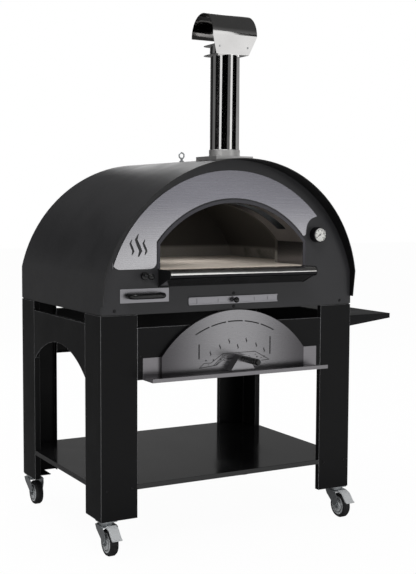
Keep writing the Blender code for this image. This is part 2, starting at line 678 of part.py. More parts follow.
# ---- oven: sill shelf with a rolled front edge ---------------------------------------------
SILL_BACK = FRONT - GAP
SILL_FACE = FRONT - SILL_PROJECTION
SILL_TOP = HEARTH_TOP - 0.0005 - SLEEVE
ROLL = 0.017
SILL_HALF = MOUTH_HALF + 0.003
roll_y = SILL_FACE + ROLL
roll_z = SILL_TOP - ROLL
profile = [(SILL_BACK, SILL_TOP)]
profile += arc(roll_y, roll_z, ROLL, 90, 282, 14)
profile += [(SILL_BACK, SILL_TOP - 0.064)]
SILL_SHEET = 0.002
bore_line = [(SILL_BACK - SILL_SHEET, SILL_TOP - SILL_SHEET)]
bore_line += arc(roll_y, roll_z, ROLL - SILL_SHEET, 90, 282, 14)
bore_line += [(SILL_BACK - SILL_SHEET, SILL_TOP - 0.064 + 1.6 * SILL_SHEET)]
smooth(prism("sill", [profile, bore_line], "X", -SILL_HALF, SILL_HALF, POLISHED), 20)

# ---- oven: hearth, its frame, the fire grate -----------------------------------------------
HEARTH_LOW = HEARTH_TOP - 0.060
HEARTH_X = HALF_W - 0.079
HEARTH_Y1 = HALF_D - 0.0445
BACK_OF_SLEEVE = SLEEVE_END + GAP
TONGUE = MOUTH_HALF - GAP
GRATE_X0 = -(HEARTH_X - 0.040)
GRATE_X1 = GRATE_X0 + 0.120
GRATE_Y0 = -0.140
GRATE_Y1 = 0.160
HEARTH_Z = MOUTH_Z0 - GAP
tongue_front = FRONT + SHEET + GAP
hearth_outline = [(-TONGUE, tongue_front), (TONGUE, tongue_front), (TONGUE, BACK_OF_SLEEVE),
                  (HEARTH_X, BACK_OF_SLEEVE), (HEARTH_X, HEARTH_Y1), (-HEARTH_X, HEARTH_Y1),
                  (-HEARTH_X, BACK_OF_SLEEVE), (-TONGUE, BACK_OF_SLEEVE)]
hearth = prism("hearth_slab", [hearth_outline], "Z", HEARTH_LOW, HEARTH_Z)
hearth = cut(hearth, box("grate_gap", GRATE_X0, GRATE_X1, GRATE_Y0, GRATE_Y1, HEARTH_LOW - 0.05,
                         HEARTH_Z + 0.05))
rebate = box("rebate", GRATE_X0 - 0.008, GRATE_X1 + 0.008, GRATE_Y0 - 0.008, GRATE_Y1 + 0.008,
             HEARTH_Z - 0.012, HEARTH_Z + 0.05)
own(cut(hearth, rebate), FIREBRICK)
grate_loops = [[(GRATE_X0 - 0.007, GRATE_Y0 - 0.007), (GRATE_X1 + 0.007, GRATE_Y0 - 0.007),
                (GRATE_X1 + 0.007, GRATE_Y1 + 0.007), (GRATE_X0 - 0.007, GRATE_Y1 + 0.007)]]
for k in range(9):
    y = GRATE_Y0 + 0.018 + 0.033 * k
    grate_loops.append([(GRATE_X0 + 0.012, y - 0.006), (GRATE_X1 - 0.012, y - 0.006),
                        (GRATE_X1 - 0.012, y + 0.006), (GRATE_X0 + 0.012, y + 0.006)])
prism("fire_grate", grate_loops, "Z", HEARTH_Z - 0.012 + GAP, HEARTH_Z - 0.001, CAST_IRON)

FRAME_Y0 = FRONT + 0.060
frame_outer = [(-HEARTH_X, FRAME_Y0), (HEARTH_X, FRAME_Y0), (HEARTH_X, HEARTH_Y1), (-HEARTH_X, HEARTH_Y1)]
FRAME_SHEET = 0.004
inner_x = HEARTH_X - FRAME_SHEET
inner_y0 = FRAME_Y0 + FRAME_SHEET
inner_y1 = HEARTH_Y1 - FRAME_SHEET
frame_inner = [(-inner_x, inner_y0), (inner_x, inner_y0), (inner_x, inner_y1), (-inner_x, inner_y1)]
frame = prism("hearth_frame", [frame_outer, frame_inner], "Z", PAN_TOP + GAP, HEARTH_LOW - GAP)
gate = box("frame_gate", DRAWER_X0 + DRAWER_INSET - 0.006, DRAWER_X1 - DRAWER_INSET + 0.006,
           FRAME_Y0 - 0.01, inner_y0 + 0.01, DRAWER_Z0 - 0.004, DRAWER_Z1 + 0.004)
vent = box("frame_vent", -0.15, 0.15, FRAME_Y0 - 0.01, inner_y0 + 0.01, AIR_MID - 0.015, AIR_MID + 0.015)
own(cut(frame, gate, vent), GALVANISED)

# ---- oven: refractory vault and insulation blanket -----------------------------------------
VAULT_OUT = ROOF_RADIUS - 0.0735
VAULT_IN = VAULT_OUT - 0.020
VAULT_Y0 = BACK_OF_SLEEVE
VAULT_LOW = HEARTH_Z + GAP


def bow(radius, low, count):
    """A round vault cut off level at its foot, with the ends on the radius."""
    reach = math.degrees(math.asin((low - ARC_Z) / radius))
    return arc(0, ARC_Z, radius, reach, 180 - reach, count)


vault = prism("chamber_vault", [bow(VAULT_OUT, VAULT_LOW, 40)], "Y", VAULT_Y0, HEARTH_Y1 - 0.002)
vault = cut(vault, prism("vault_in", [arc(0, ARC_Z, VAULT_IN, -10, 190, 40)], "Y", VAULT_Y0 + 0.020,
                         HEARTH_Y1 - 0.022))
vault = cut(vault, prism("vault_mouth", [mouth(-0.0005, VAULT_LOW - 0.1)], "Y", VAULT_Y0 - 0.1,
                         VAULT_Y0 + 0.050))
smooth(own(vault, SOOTED), 30)

WOOL_LOW = OVEN_BASE + 0.020 + GAP
wool_half = HALF_W - ROOF_SHEET - GAP
wool = prism("insulation_blanket", [arch(wool_half, LINING, WOOL_LOW, 48)], "Y", VAULT_Y0, HEARTH_Y1)
core = bow(VAULT_OUT + GAP, VAULT_LOW, 40) + [(-HEARTH_X - GAP, VAULT_LOW), (-HEARTH_X - GAP, WOOL_LOW - 0.1),
                                              (HEARTH_X + GAP, WOOL_LOW - 0.1), (HEARTH_X + GAP, VAULT_LOW)]
wool = cut(wool, prism("wool_in", [core], "Y", VAULT_Y0 - 0.1, HEARTH_Y1 + 0.1))
smooth(own(wool, WOOL), 30)

# ---- ash drawer and its bow handle ---------------------------------------------------------
BOX_X0 = DRAWER_X0 + DRAWER_INSET
BOX_X1 = DRAWER_X1 - DRAWER_INSET
BOX_Z0 = DRAWER_Z0 + 0.006
BOX_Z1 = DRAWER_Z1 - 0.006
drawer = box("ash_drawer", BOX_X0, BOX_X1, PLATE_BACK - 0.001, PLATE_BACK + DRAWER_DEPTH, BOX_Z0, BOX_Z1)
face = box("drawer_face", DRAWER_X0, DRAWER_X1, PLATE_FACE, PLATE_BACK, DRAWER_Z0, DRAWER_Z1)
drawer = join(drawer, face)
drawer = cut(drawer, box("drawer_in", BOX_X0 + 0.0015, BOX_X1 - 0.0015, PLATE_BACK + 0.0015,
                         PLATE_BACK + DRAWER_DEPTH - 0.0015, BOX_Z0 + 0.0015, BOX_Z1 + 0.05))
own(drawer, STAINLESS)


def sweep(name, path, radius, sides, up, finish_values=None):
    """A round bar along a planar path, closed with flat ends."""
    verts = []
    last = len(path) - 1
    for i, point in enumerate(path):
        here = Vector(point)
        tangent = (Vector(path[min(i + 1, last)]) - Vector(path[max(i - 1, 0)])).normalized()
        across = tangent.cross(Vector(up)).normalized()
        for k in range(sides):
            a = 2 * math.pi * k / sides
            verts.append(here + across * (radius * math.cos(a)) + Vector(up) * (radius * math.sin(a)))
    faces = []
    for i in range(last):
        for k in range(sides):
            j = (k + 1) % sides
            faces.append((i * sides + k, i * sides + j, (i + 1) * sides + j, (i + 1) * sides + k))
    faces.append(tuple(range(sides)))
    faces.append(tuple(last * sides + k for k in reversed(range(sides))))
    return smooth(add(name, verts, faces, finish_values), 50)


BOW_HALF = 0.066
BOW_X = (DRAWER_X0 + DRAWER_X1) / 2
BOW_Z = (DRAWER_Z0 + DRAWER_Z1) / 2
BOW_OUT = 0.034
BOW_RADIUS = 0.0106
bow_path = [(BOW_X - BOW_HALF, PLATE_FACE - GAP, BOW_Z)]
for x, y in arc(BOW_X - BOW_HALF + 0.020, PLATE_FACE - BOW_OUT + 0.020, 0.020, 180, 270, 6):
    bow_path.append((x, y, BOW_Z))
for x, y in arc(BOW_X + BOW_HALF - 0.020, PLATE_FACE - BOW_OUT + 0.020, 0.020, 270, 360, 6):
    bow_path.append((x, y, BOW_Z))
bow_path.append((BOW_X + BOW_HALF, PLATE_FACE - GAP, BOW_Z))
sweep("ash_drawer_handle", bow_path, BOW_RADIUS, 12, (0, 0, 1), BAKELITE)

# ---- air slide under the mouth -------------------------------------------------------------
AIR_BACK = FRONT - GAP
frame_plate = [(-AIR_HALF, AIR_Z0), (AIR_HALF, AIR_Z0), (AIR_HALF, AIR_Z1), (-AIR_HALF, AIR_Z1)]
air_frame = prism("air_slide_frame", [frame_plate], "Y", AIR_BACK - 0.0050, AIR_BACK)
channel = box("air_channel", -AIR_HALF - 0.01, AIR_HALF + 0.01, AIR_BACK - 0.0034, AIR_BACK - 0.0012,
              AIR_Z0 + 0.0015, AIR_Z1 - 0.0015)
window = box("air_window", -AIR_HALF - 0.01, AIR_HALF + 0.01, AIR_BACK - 0.02, AIR_BACK - 0.0034 + 0.0005,
             AIR_Z0 + 0.0045, AIR_Z1 - 0.0045)
air_frame = cut(air_frame, channel, window)
air_frame = cut(air_frame, punches("ports", air_ports(0.0), "Y", AIR_BACK - 0.02, AIR_BACK + 0.01))
own(air_frame, STAINLESS)
SLIDE_HALF = 0.160
slide_plate = [(-SLIDE_HALF, AIR_Z0 + 0.0018), (SLIDE_HALF, AIR_Z0 + 0.0018),
               (SLIDE_HALF, AIR_Z1 - 0.0018), (-SLIDE_HALF, AIR_Z1 - 0.0018)]
prism("air_slide", [slide_plate] + air_ports(AIR_STROKE), "Y",
      AIR_BACK - 0.0031, AIR_BACK - 0.0015, STAINLESS)


def ball_knob(name, origin, radius, stem_radius, stem, steps):
    """A ball on a short stem, pointing toward -Y from its origin."""
    profile = [(0, 0), (stem_radius, 0), (stem_radius, -stem)]
    centre = -stem - radius * 0.92
    for k in range(1, 7):
        a = math.radians(-67 + (157 * k / 7))
        profile.append((radius * math.cos(a), centre - radius * math.sin(a)))
    profile.append((0, centre - radius))
    return smooth(lathe(name, profile, "Y", origin, steps, BAKELITE), 40)


ball_knob("air_slide_knob", (0, AIR_BACK - 0.0031 - GAP, AIR_MID), 0.0112, 0.0045, 0.0070, 14)

# ---- pull rod beside the mouth -------------------------------------------------------------
ROD_END = FRONT - 0.0440
rod("pull_rod", 0.0040, "Y", (ROD_X, ROD_END, ROD_Z), 0.150, 12, ZINC)
smooth(bpy.data.objects["pull_rod"], 40)
ball_knob("pull_rod_knob", (ROD_X, ROD_END - GAP, ROD_Z), 0.0125, 0.0055, 0.0020, 14)

# ---- thermometer ---------------------------------------------------------------------------
case = [(0, 0), (0.0300, 0), (0.0300, -0.0310), (0.0285, -0.0330), (0.0265, -0.0330),
        (0.0265, -0.0257), (0, -0.0257)]
GAUGE = (GAUGE_X, FRONT - GAP, GAUGE_Z)
smooth(lathe("thermometer_case", case, "Y", GAUGE, 28, SATIN_BLACK), 40)
dial_y = GAUGE[1] - 0.0257 - GAP
rod("thermometer_dial", 0.0262, "Y", (GAUGE_X, dial_y - 0.0012, GAUGE_Z), 0.0012, 24, DIAL_WHITE)
needle_y = dial_y - 0.0012 - GAP
needle = prism("thermometer_needle", [[(-0.0012, -0.0075), (0.0012, -0.0075), (0.0016, 0.0), (0.0004, 0.0200),
                                       (-0.0004, 0.0200), (-0.0016, 0.0)]], "Y", -0.0005, 0.0)
needle = join(needle, rod("needle_hub", 0.0032, "Y", (0, -0.0014, 0), 0.0014, 8))
needle.data.transform(Matrix.Rotation(math.radians(-128), 4, "Y"))
needle.data.transform(Matrix.Translation(Vector((GAUGE_X, needle_y, GAUGE_Z))))
set_axis(own(needle, SATIN_BLACK), (GAUGE_X, needle_y, GAUGE_Z))
rod("thermometer_lens", 0.0262, "Y", (GAUGE_X, GAUGE[1] - 0.0320, GAUGE_Z), 0.0020, 24, LENS)

# ---- lifting eye on the crown --------------------------------------------------------------
EYE_Y = 0.012
eye_foot = [(0, 0), (0.0095, 0), (0.0095, 0.005), (0.0050, 0.007), (0.0050, 0.016), (0, 0.016)]
eye = lathe("lifting_eye", eye_foot, "Z", (0, EYE_Y, CROWN + GAP), 12)
eye_ring = [(0.0115 + 0.0033 * math.cos(2 * math.pi * k / 6), 0.0033 * math.sin(2 * math.pi * k / 6))
            for k in range(6)]
eye = join(eye, lathe("eye_ring", eye_ring, "Y", (0, EYE_Y, CROWN + GAP + 0.0270), 16))
smooth(own(eye, ZINC), 40)

# ---- chimney: saddle, pipe, cowl -----------------------------------------------------------
SADDLE_TOP = CROWN + 0.0098
saddle_in = FLUE_RADIUS - 0.0047
saddle = box("chimney_saddle", -0.080, 0.080, FLUE_Y - 0.080, FLUE_Y + 0.080, CROWN - 0.02, SADDLE_TOP)
collar = [(FLUE_RADIUS + GAP, SADDLE_TOP), (FLUE_RADIUS + 0.0032, SADDLE_TOP - 0.002),
          (FLUE_RADIUS + 0.0032, SADDLE_TOP + 0.024), (FLUE_RADIUS + 0.0022, SADDLE_TOP + 0.026),
          (FLUE_RADIUS + GAP, SADDLE_TOP + 0.026)]
saddle = join(saddle, lathe("collar", collar, "Z", (0, FLUE_Y, 0), 32))
saddle = cut(saddle, rod("saddle_bore", saddle_in, "Z", (0, FLUE_Y, CROWN - 0.1), 0.2, 32))
saddle = cut(saddle, prism("saddle_fit", [arc(0, ARC_Z, ROOF_RADIUS + GAP, 60, 120, 48) + [(-0.3, 1.0), (0.3, 1.0)]],
                           "Y", FLUE_Y - 0.2, FLUE_Y + 0.2))
smooth(own(saddle, STAINLESS), 30)

PIPE_LOW = SADDLE_TOP + GAP
PIPE_TOP = PIPE_LOW + FLUE_LENGTH
pipe = [(FLUE_RADIUS - 0.0015, PIPE_LOW), (FLUE_RADIUS, PIPE_LOW), (FLUE_RADIUS, PIPE_TOP),
        (FLUE_RADIUS - 0.0015, PIPE_TOP)]
smooth(lathe("chimney_pipe", pipe, "Z", (0, FLUE_Y, 0), 32, POLISHED), 40)

COWL_Z = PIPE_TOP + 0.035
COWL_Y = FLUE_Y + 0.0065
COWL_SHEET = 0.0015
COWL_HALF = COWL_LENGTH / 2
hood_out = arc(COWL_Y, COWL_Z, COWL_RADIUS, -2, 180, 20)
hood_in = arc(COWL_Y, COWL_Z, COWL_RADIUS - COWL_SHEET, 180, -2, 20)
skirt_foot = (COWL_Y - 0.066, COWL_Z - 0.069)
sheet_line = hood_out + [skirt_foot, (skirt_foot[0] + COWL_SHEET, skirt_foot[1])] + hood_in
cowl = prism("chimney_cowl", [sheet_line], "X", -COWL_HALF, COWL_HALF)
for sx in (-1, 1):
    taper = [(sx * COWL_HALF * 1.2, COWL_Z - 0.004), (sx * COWL_HALF, COWL_Z - 0.004),
             (sx * 0.070, COWL_Z - 0.0705), (sx * COWL_HALF * 1.2, COWL_Z - 0.0705)]
    cowl = cut(cowl, prism("taper", [taper], "Y", COWL_Y - 0.12, COWL_Y - 0.05))
for z in (COWL_Z - 0.0700, COWL_Z - 0.0340):
    ear = [(-0.070, COWL_Y - 0.0655), (0.070, COWL_Y - 0.0655), (0.070, COWL_Y + 0.056),
           (-0.070, COWL_Y + 0.056)]
    if z > COWL_Z - 0.05:
        ear = [(-0.070, COWL_Y - 0.0735), (0.070, COWL_Y - 0.0735), (0.070, COWL_Y + 0.056),
               (-0.070, COWL_Y + 0.056)]
    cowl = join(cowl, prism("ear", [rounded(ear, (0, 0, 0.03, 0.03), 3)], "Z", z, z + 0.002))
cowl = join(cowl, rod("cowl_socket", FLUE_RADIUS + GAP + 0.0015, "Z", (0, FLUE_Y, COWL_Z - 0.0700), 0.038, 32))
cowl = cut(cowl, rod("cowl_bore", FLUE_RADIUS + GAP, "Z", (0, FLUE_Y, COWL_Z - 0.12), 0.130, 32))
smooth(own(cowl, POLISHED), 30)


# ---- casters -------------------------------------------------------------------------------
def caster(tag, cx, cy, braked):
    """Swivel caster: top plate, fork with its axle pin, wheel, tyre and, in front, a brake pedal."""
    top = LEG_FOOT - GAP
    plate_x = CASTER_INSET
    plate_y = 0.031
    plate = prism("caster_plate_" + tag, [rounded([(cx - plate_x, cy - plate_y), (cx + plate_x, cy - plate_y),
                                                   (cx + plate_x, cy + plate_y), (cx - plate_x, cy + plate_y)],
                                                  (0.006,) * 4, 1)], "Z", top - 0.003, top)
    race = [(0, -0.0002), (0.0265, -0.0002), (0.0265, -0.0125), (0, -0.0125)]
    plate = join(plate, lathe("race", race, "Z", (cx, cy, top - 0.0025), 16))
    smooth(own(plate, ZINC), 40)
    crown_top = top - 0.0150 - GAP
    crown_low = crown_top - 0.0040
    ax_y = cy - WHEEL_TRAIL
    axle_z = WHEEL_RADIUS
    arm_top = crown_low + 0.002
    arm_low = axle_z - 0.013
    splay = 0.010 / (arm_top - arm_low)
    crown_x = 0.0183 + 0.010 + 0.0029
    fork = prism("caster_fork_" + tag, [rounded([(cx - crown_x, cy - 0.0362), (cx + crown_x, cy - 0.0362),
                                                 (cx + crown_x, cy + 0.034), (cx - crown_x, cy + 0.034)],
                                                (0.010,) * 4, 1)], "Z", crown_low, crown_top)
    arm = [(cy + 0.0325, arm_top), (cy + 0.0270, arm_top - 0.018)]
    arm += arc(ax_y, axle_z, 0.013, -20, -160, 5)
    arm += [(ax_y - 0.014, arm_top - 0.020), (cy - 0.035, arm_top)]
    for sx in (-1, 1):
        x0, x1 = sorted((cx + sx * 0.0183, cx + sx * 0.0212))
        side = prism("arm", [arm], "X", x0, x1)
        for vert in side.data.vertices:
            vert.co.x += sx * splay * (vert.co.z - arm_low)
        fork = join(fork, side)
    pin = [(0, -0.0260), (0.0078, -0.0260), (0.0078, -0.0205), (0.0050, -0.0205), (0.0050, 0.0205),
           (0.0078, 0.0205), (0.0078, 0.0260), (0, 0.0260)]
    fork = join(fork, lathe("axle_pin", pin, "X", (cx, ax_y, axle_z), 10))
    smooth(own(fork, ZINC), 40)
    set_axis(fork, (cx, cy, crown_top))
    hub = [(0.0056, -0.0165), (0.0125, -0.0165), (0.0140, -0.0110), (0.0310, -0.0110), (0.0370, -0.0150),
           (0.0370, 0.0150), (0.0310, 0.0110), (0.0140, 0.0110), (0.0125, 0.0165), (0.0056, 0.0165)]
    wheel = smooth(lathe("caster_wheel_" + tag, hub, "X", (cx, ax_y, axle_z), 24, GREY_NYLON), 40)
    set_axis(wheel, (cx, ax_y, axle_z))
    r = WHEEL_RADIUS
    tread = [(0.0374, -0.0148), (r - 0.0040, -0.0150), (r, -0.0090), (r, 0.0090), (r - 0.0040, 0.0150),
             (0.0374, 0.0148)]
    tyre = smooth(lathe("caster_tyre_" + tag, tread, "X", (cx, ax_y, axle_z), 24, RUBBER), 40)
    set_axis(tyre, (cx, ax_y, axle_z))
    if braked:
        hinge_y = ax_y - 0.0105
        hinge_z = crown_top - 0.0015
        width = 0.0195
        pedal = rod("brake_pedal_" + tag, 0.0040, "X", (cx - width, hinge_y, hinge_z), width * 2, 10)
        tread_line = [(hinge_y - 0.001, hinge_z + 0.0010), (hinge_y - 0.0245, hinge_z - 0.0070),
                      (hinge_y - 0.0500, hinge_z - 0.0345), (hinge_y - 0.0600, hinge_z - 0.0360),
                      (hinge_y - 0.0600, hinge_z - 0.0320), (hinge_y - 0.0520, hinge_z - 0.0290),
                      (hinge_y - 0.0260, hinge_z - 0.0010), (hinge_y - 0.001, hinge_z + 0.0060)]
        pedal = join(pedal, prism("tread", [tread_line], "X", cx - width, cx + width))
        smooth(own(pedal, GREY_NYLON), 40)
        set_axis(pedal, (cx, hinge_y, hinge_z))


SWIVEL_X = HALF_W - CASTER_INSET - 0.0005
SWIVEL_Y = HALF_D - 0.0315
caster("front_left", -SWIVEL_X, -SWIVEL_Y, True)
caster("front_right", SWIVEL_X, -SWIVEL_Y, True)
caster("back_left", -SWIVEL_X, SWIVEL_Y, False)
caster("back_right", SWIVEL_X, SWIVEL_Y, False)
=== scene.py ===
"""Looks of a wood fired pizza oven on a wheeled stand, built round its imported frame, in metres."""
import json
import math

import bmesh
import bpy
from mathutils import Matrix, Vector

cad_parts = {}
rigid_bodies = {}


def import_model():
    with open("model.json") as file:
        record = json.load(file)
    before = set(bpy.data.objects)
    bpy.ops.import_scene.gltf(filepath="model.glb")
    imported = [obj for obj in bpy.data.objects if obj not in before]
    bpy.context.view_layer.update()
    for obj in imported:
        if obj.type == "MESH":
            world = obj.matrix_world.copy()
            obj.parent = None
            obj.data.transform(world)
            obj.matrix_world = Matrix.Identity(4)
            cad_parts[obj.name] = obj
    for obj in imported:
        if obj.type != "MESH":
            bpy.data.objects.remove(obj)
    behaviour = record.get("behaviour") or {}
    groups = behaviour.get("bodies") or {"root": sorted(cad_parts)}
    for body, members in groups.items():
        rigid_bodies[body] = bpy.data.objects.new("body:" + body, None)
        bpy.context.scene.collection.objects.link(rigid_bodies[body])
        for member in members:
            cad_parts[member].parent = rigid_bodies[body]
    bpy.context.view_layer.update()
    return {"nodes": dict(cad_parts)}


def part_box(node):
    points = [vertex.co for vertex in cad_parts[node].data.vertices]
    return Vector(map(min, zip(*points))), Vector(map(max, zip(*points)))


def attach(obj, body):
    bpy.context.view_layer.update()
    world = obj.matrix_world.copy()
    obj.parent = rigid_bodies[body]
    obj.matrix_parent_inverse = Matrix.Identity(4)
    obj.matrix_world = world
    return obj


for leftover in list(bpy.data.objects):
    bpy.data.objects.remove(leftover, do_unlink=True)
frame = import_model()

# ---- camera ---------------------------------------------------------------------------------
# A long lens at chest height, in front of the oven and to its left.
camera_data = bpy.data.cameras.new("camera")
camera_data.lens = 66.66
camera_data.sensor_width = 36.0
camera = bpy.data.objects.new("camera", camera_data)
bpy.context.scene.collection.objects.link(camera)
camera.location = (-2.0474, -3.8863, 1.2764)
LOOK = Vector((0.48568, 0.87067, -0.07776))
LENS_ROLL = 0.0047
camera.rotation_mode = "QUATERNION"
level_lens = LOOK.to_track_quat("-Z", "Y")
camera.rotation_quaternion = level_lens @ Matrix.Rotation(LENS_ROLL, 3, "Z").to_quaternion()
bpy.context.scene.camera = camera
bpy.context.scene.view_settings.view_transform = "Standard"


# ---- studio: white cove, floor, soft boxes and cards ----------------------------------------
# A white cove with big soft boxes. Cards of black cloth and white board stand round the oven,
# where only polished metal and gloss see them, and give the flue its streaks.
def linear(code):
    """A hex colour as it is written for a screen, turned into linear red, green, blue, alpha."""
    out = []
    for start in (0, 2, 4):
        level = int(code[start:start + 2], 16) / 255
        out.append(level / 12.92 if level <= 0.04045 else ((level + 0.055) / 1.055) ** 2.4)
    return (*out, 1.0)


def add_node(tree, kind, settings, inputs):
    """Adds one node with its settings and its inputs, each a value or a socket to link."""
    made = tree.nodes.new(kind)
    for name, value in settings.items():
        setattr(made, name, value)
    for name, value in inputs.items():
        if isinstance(value, bpy.types.NodeSocket):
            tree.links.new(value, made.inputs[name])
        else:
            made.inputs[name].default_value = value
    return made


world = bpy.data.worlds.new("white_cove")
bpy.context.scene.world = world
world.use_nodes = True
tree = world.node_tree
tree.nodes.clear()
rays = add_node(tree, "ShaderNodeLightPath", {}, {})
seen_through = add_node(tree, "ShaderNodeMath", {"operation": "MAXIMUM"},
                           {0: rays.outputs["Is Camera Ray"], 1: rays.outputs["Is Transmission Ray"]})
aim = add_node(tree, "ShaderNodeTexCoord", {}, {})
split = add_node(tree, "ShaderNodeSeparateXYZ", {}, {0: aim.outputs["Generated"]})
# Metal and gloss see the cove dim at eye level and nearly black overhead, above the lamps.
height = add_node(tree, "ShaderNodeMapRange", {},
                  {"Value": split.outputs["Z"], "From Min": 0.0, "From Max": 0.6, "To Min": 0.24,
                   "To Max": 0.05})
gloss_level = add_node(tree, "ShaderNodeMix", {"data_type": "FLOAT"},
                       {0: rays.outputs["Is Glossy Ray"], 2: 0.50, 3: height.outputs[0]})
strength = add_node(tree, "ShaderNodeMix", {"data_type": "FLOAT"},
                    {0: seen_through.outputs[0], 2: gloss_level.outputs[0], 3: 1.0})
WHITE = (1.0, 1.0, 1.0, 1.0)
cove = add_node(tree, "ShaderNodeBackground", {}, {"Color": WHITE, "Strength": strength.outputs[0]})
add_node(tree, "ShaderNodeOutputWorld", {}, {"Surface": cove.outputs[0]})

white_vinyl = bpy.data.materials.new("white_vinyl_floor")
white_vinyl.use_nodes = True
tree = white_vinyl.node_tree
tree.nodes.clear()
rays = add_node(tree, "ShaderNodeLightPath", {}, {})
sheet_light = add_node(tree, "ShaderNodeBsdfDiffuse", {}, {"Color": linear("f2f2f2")})
sheet_glow = add_node(tree, "ShaderNodeEmission", {}, {"Color": WHITE, "Strength": 1.0})
# In reflections the sheet glows only in front of the object, where the lamps fall on it.
floor_spot = add_node(tree, "ShaderNodeTexCoord", {}, {})
floor_place = add_node(tree, "ShaderNodeSeparateXYZ", {}, {0: floor_spot.outputs["Object"]})
front_share = add_node(tree, "ShaderNodeMapRange", {"interpolation_type": "SMOOTHSTEP"},
                       {"Value": floor_place.outputs["Y"], "From Min": -1.4, "From Max": -0.4, "To Min": 0.90,
                        "To Max": 0.06})
gloss_share = add_node(tree, "ShaderNodeMath", {"operation": "MULTIPLY"},
                       {0: rays.outputs["Is Glossy Ray"], 1: front_share.outputs[0]})
# A little of the sheet stays unlit to the lens too, so that the shadow of the oven shows on it.
lens_share = add_node(tree, "ShaderNodeMath", {"operation": "MULTIPLY"},
                      {0: rays.outputs["Is Camera Ray"], 1: 0.97})
seen = add_node(tree, "ShaderNodeMath", {"operation": "MAXIMUM"},
                {0: lens_share.outputs[0], 1: gloss_share.outputs[0]})
dim = add_node(tree, "ShaderNodeMix", {"data_type": "RGBA"},
               {0: rays.outputs["Is Glossy Ray"], 6: linear("f2f2f2"), 7: linear("6a6a6a")})
tree.links.new(dim.outputs[2], sheet_light.inputs["Color"])
floor_mix = add_node(tree, "ShaderNodeMixShader", {}, {0: seen.outputs[0], 1: sheet_light.outputs[0],
                                                       2: sheet_glow.outputs[0]})
add_node(tree, "ShaderNodeOutputMaterial", {}, {"Surface": floor_mix.outputs[0]})
FLOOR_REACH = 25.0
floor_mesh = bpy.data.meshes.new("floor")
floor_mesh.from_pydata([(-FLOOR_REACH, -FLOOR_REACH, 0), (FLOOR_REACH, -FLOOR_REACH, 0),
                        (FLOOR_REACH, FLOOR_REACH, 0), (-FLOOR_REACH, FLOOR_REACH, 0)], [], [(0, 1, 2, 3)])
floor = bpy.data.objects.new("floor", floor_mesh)
floor_mesh.materials.append(white_vinyl)
bpy.context.scene.collection.objects.link(floor)

MID = (0.1, 0.0, 1.0)
# Each lamp has its place, what it is aimed at, its width in metres and its power in watts. The
# last one hangs in the oven under the vault, and lights only the chamber.
LAMPS = (("front_box", (2.6, -4.6, 1.9), MID, 2.2, 20.0),
         ("high_box", (-0.9, -2.7, 4.3), MID, 1.6, 52.0),
         ("top_box", (-1.2, 0.4, 4.6), MID, 3.0, 60.0),
         ("left_box", (-4.6, -1.2, 2.2), MID, 2.0, 24.0),
         ("back_box", (1.5, 4.6, 2.8), MID, 2.6, 40.0),
         ("right_box", (4.8, 0.8, 2.2), MID, 2.4, 30.0),
         ("hearth_lamp", (0.02, -0.04, 1.27), (0.02, -0.04, 1.0), 0.22, 0.50))
for name, where, aimed_at, size, power in LAMPS:
    lamp = bpy.data.lights.new(name, "AREA")
    lamp.energy = power
    lamp.size = size
    lamp_object = bpy.data.objects.new(name, lamp)
    lamp_object.location = where
    lamp_object.rotation_mode = "QUATERNION"
    beam = Vector(aimed_at) - Vector(where)
    lamp_object.rotation_quaternion = beam.to_track_quat("-Z", "Y")
    lamp_object.visible_glossy = name != "hearth_lamp"
    bpy.context.scene.collection.objects.link(lamp_object)


def studio_card(name, verts, faces, level):
    """A card seen only in gloss. Its level is 0 for black cloth and 1 for white board."""
    card = bpy.data.materials.new("studio_" + name)
    card.use_nodes = True
    tree = card.node_tree
    tree.nodes.clear()
    board = add_node(tree, "ShaderNodeEmission", {}, {"Color": WHITE, "Strength": level})
    add_node(tree, "ShaderNodeOutputMaterial", {}, {"Surface": board.outputs[0]})
    card_mesh = bpy.data.meshes.new(name)
    card_mesh.from_pydata(verts, [], faces)
    card_mesh.materials.append(card)
    card_object = bpy.data.objects.new(name, card_mesh)
    card_object.visible_camera = False
    card_object.visible_diffuse = False
    card_object.visible_shadow = False
    card_object.visible_transmission = False
    bpy.context.scene.collection.objects.link(card_object)


CARD_REACH = 3.4
CARD_FOOT = 1.45
CARD_TOP = 3.2
CARD_STEPS = 6
FLUE_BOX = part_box("chimney_pipe")
flue_x = (FLUE_BOX[0][0] + FLUE_BOX[1][0]) / 2
flue_y = (FLUE_BOX[0][1] + FLUE_BOX[1][1]) / 2
toward_lens = math.degrees(math.atan2(camera.location.y - flue_y, camera.location.x - flue_x))
# Each card fills what the pipe mirrors between two places across its width, -1 left to 1 right,
# and has its level.
CARDS = ((-0.99, -0.92, 0.06), (-0.92, -0.80, 0.02), (-0.80, -0.63, 0.15), (-0.63, -0.34, 0.005),
         (-0.34, -0.20, 0.95), (-0.20, 0.20, 0.0), (0.20, 0.38, 0.13), (0.38, 0.51, 1.0), (0.51, 0.79, 0.0),
         (0.79, 0.97, 0.30))
for number, (left, right, level) in enumerate(CARDS):
    verts = []
    for step in range(CARD_STEPS + 1):
        place = math.asin(left) + (math.asin(right) - math.asin(left)) * step / CARD_STEPS
        turn = math.radians(toward_lens) + 2 * place
        x = flue_x + CARD_REACH * math.cos(turn)
        y = flue_y + CARD_REACH * math.sin(turn)
        verts += [(x, y, CARD_FOOT), (x, y, CARD_TOP)]
    faces = [(2 * step, 2 * step + 2, 2 * step + 3, 2 * step + 1) for step in range(CARD_STEPS)]
    studio_card("card_%d" % number, verts, faces, level)
# A grey card stands behind the stand, so that the lamp behind doesn't glare in the glossy shelf.
studio_card("low_card", [(-2.5, 1.7, 0.05), (4.5, 1.7, 0.05), (4.5, 1.7, 1.32), (-2.5, 1.7, 1.32)],
            [(0, 1, 2, 3)], 0.17)


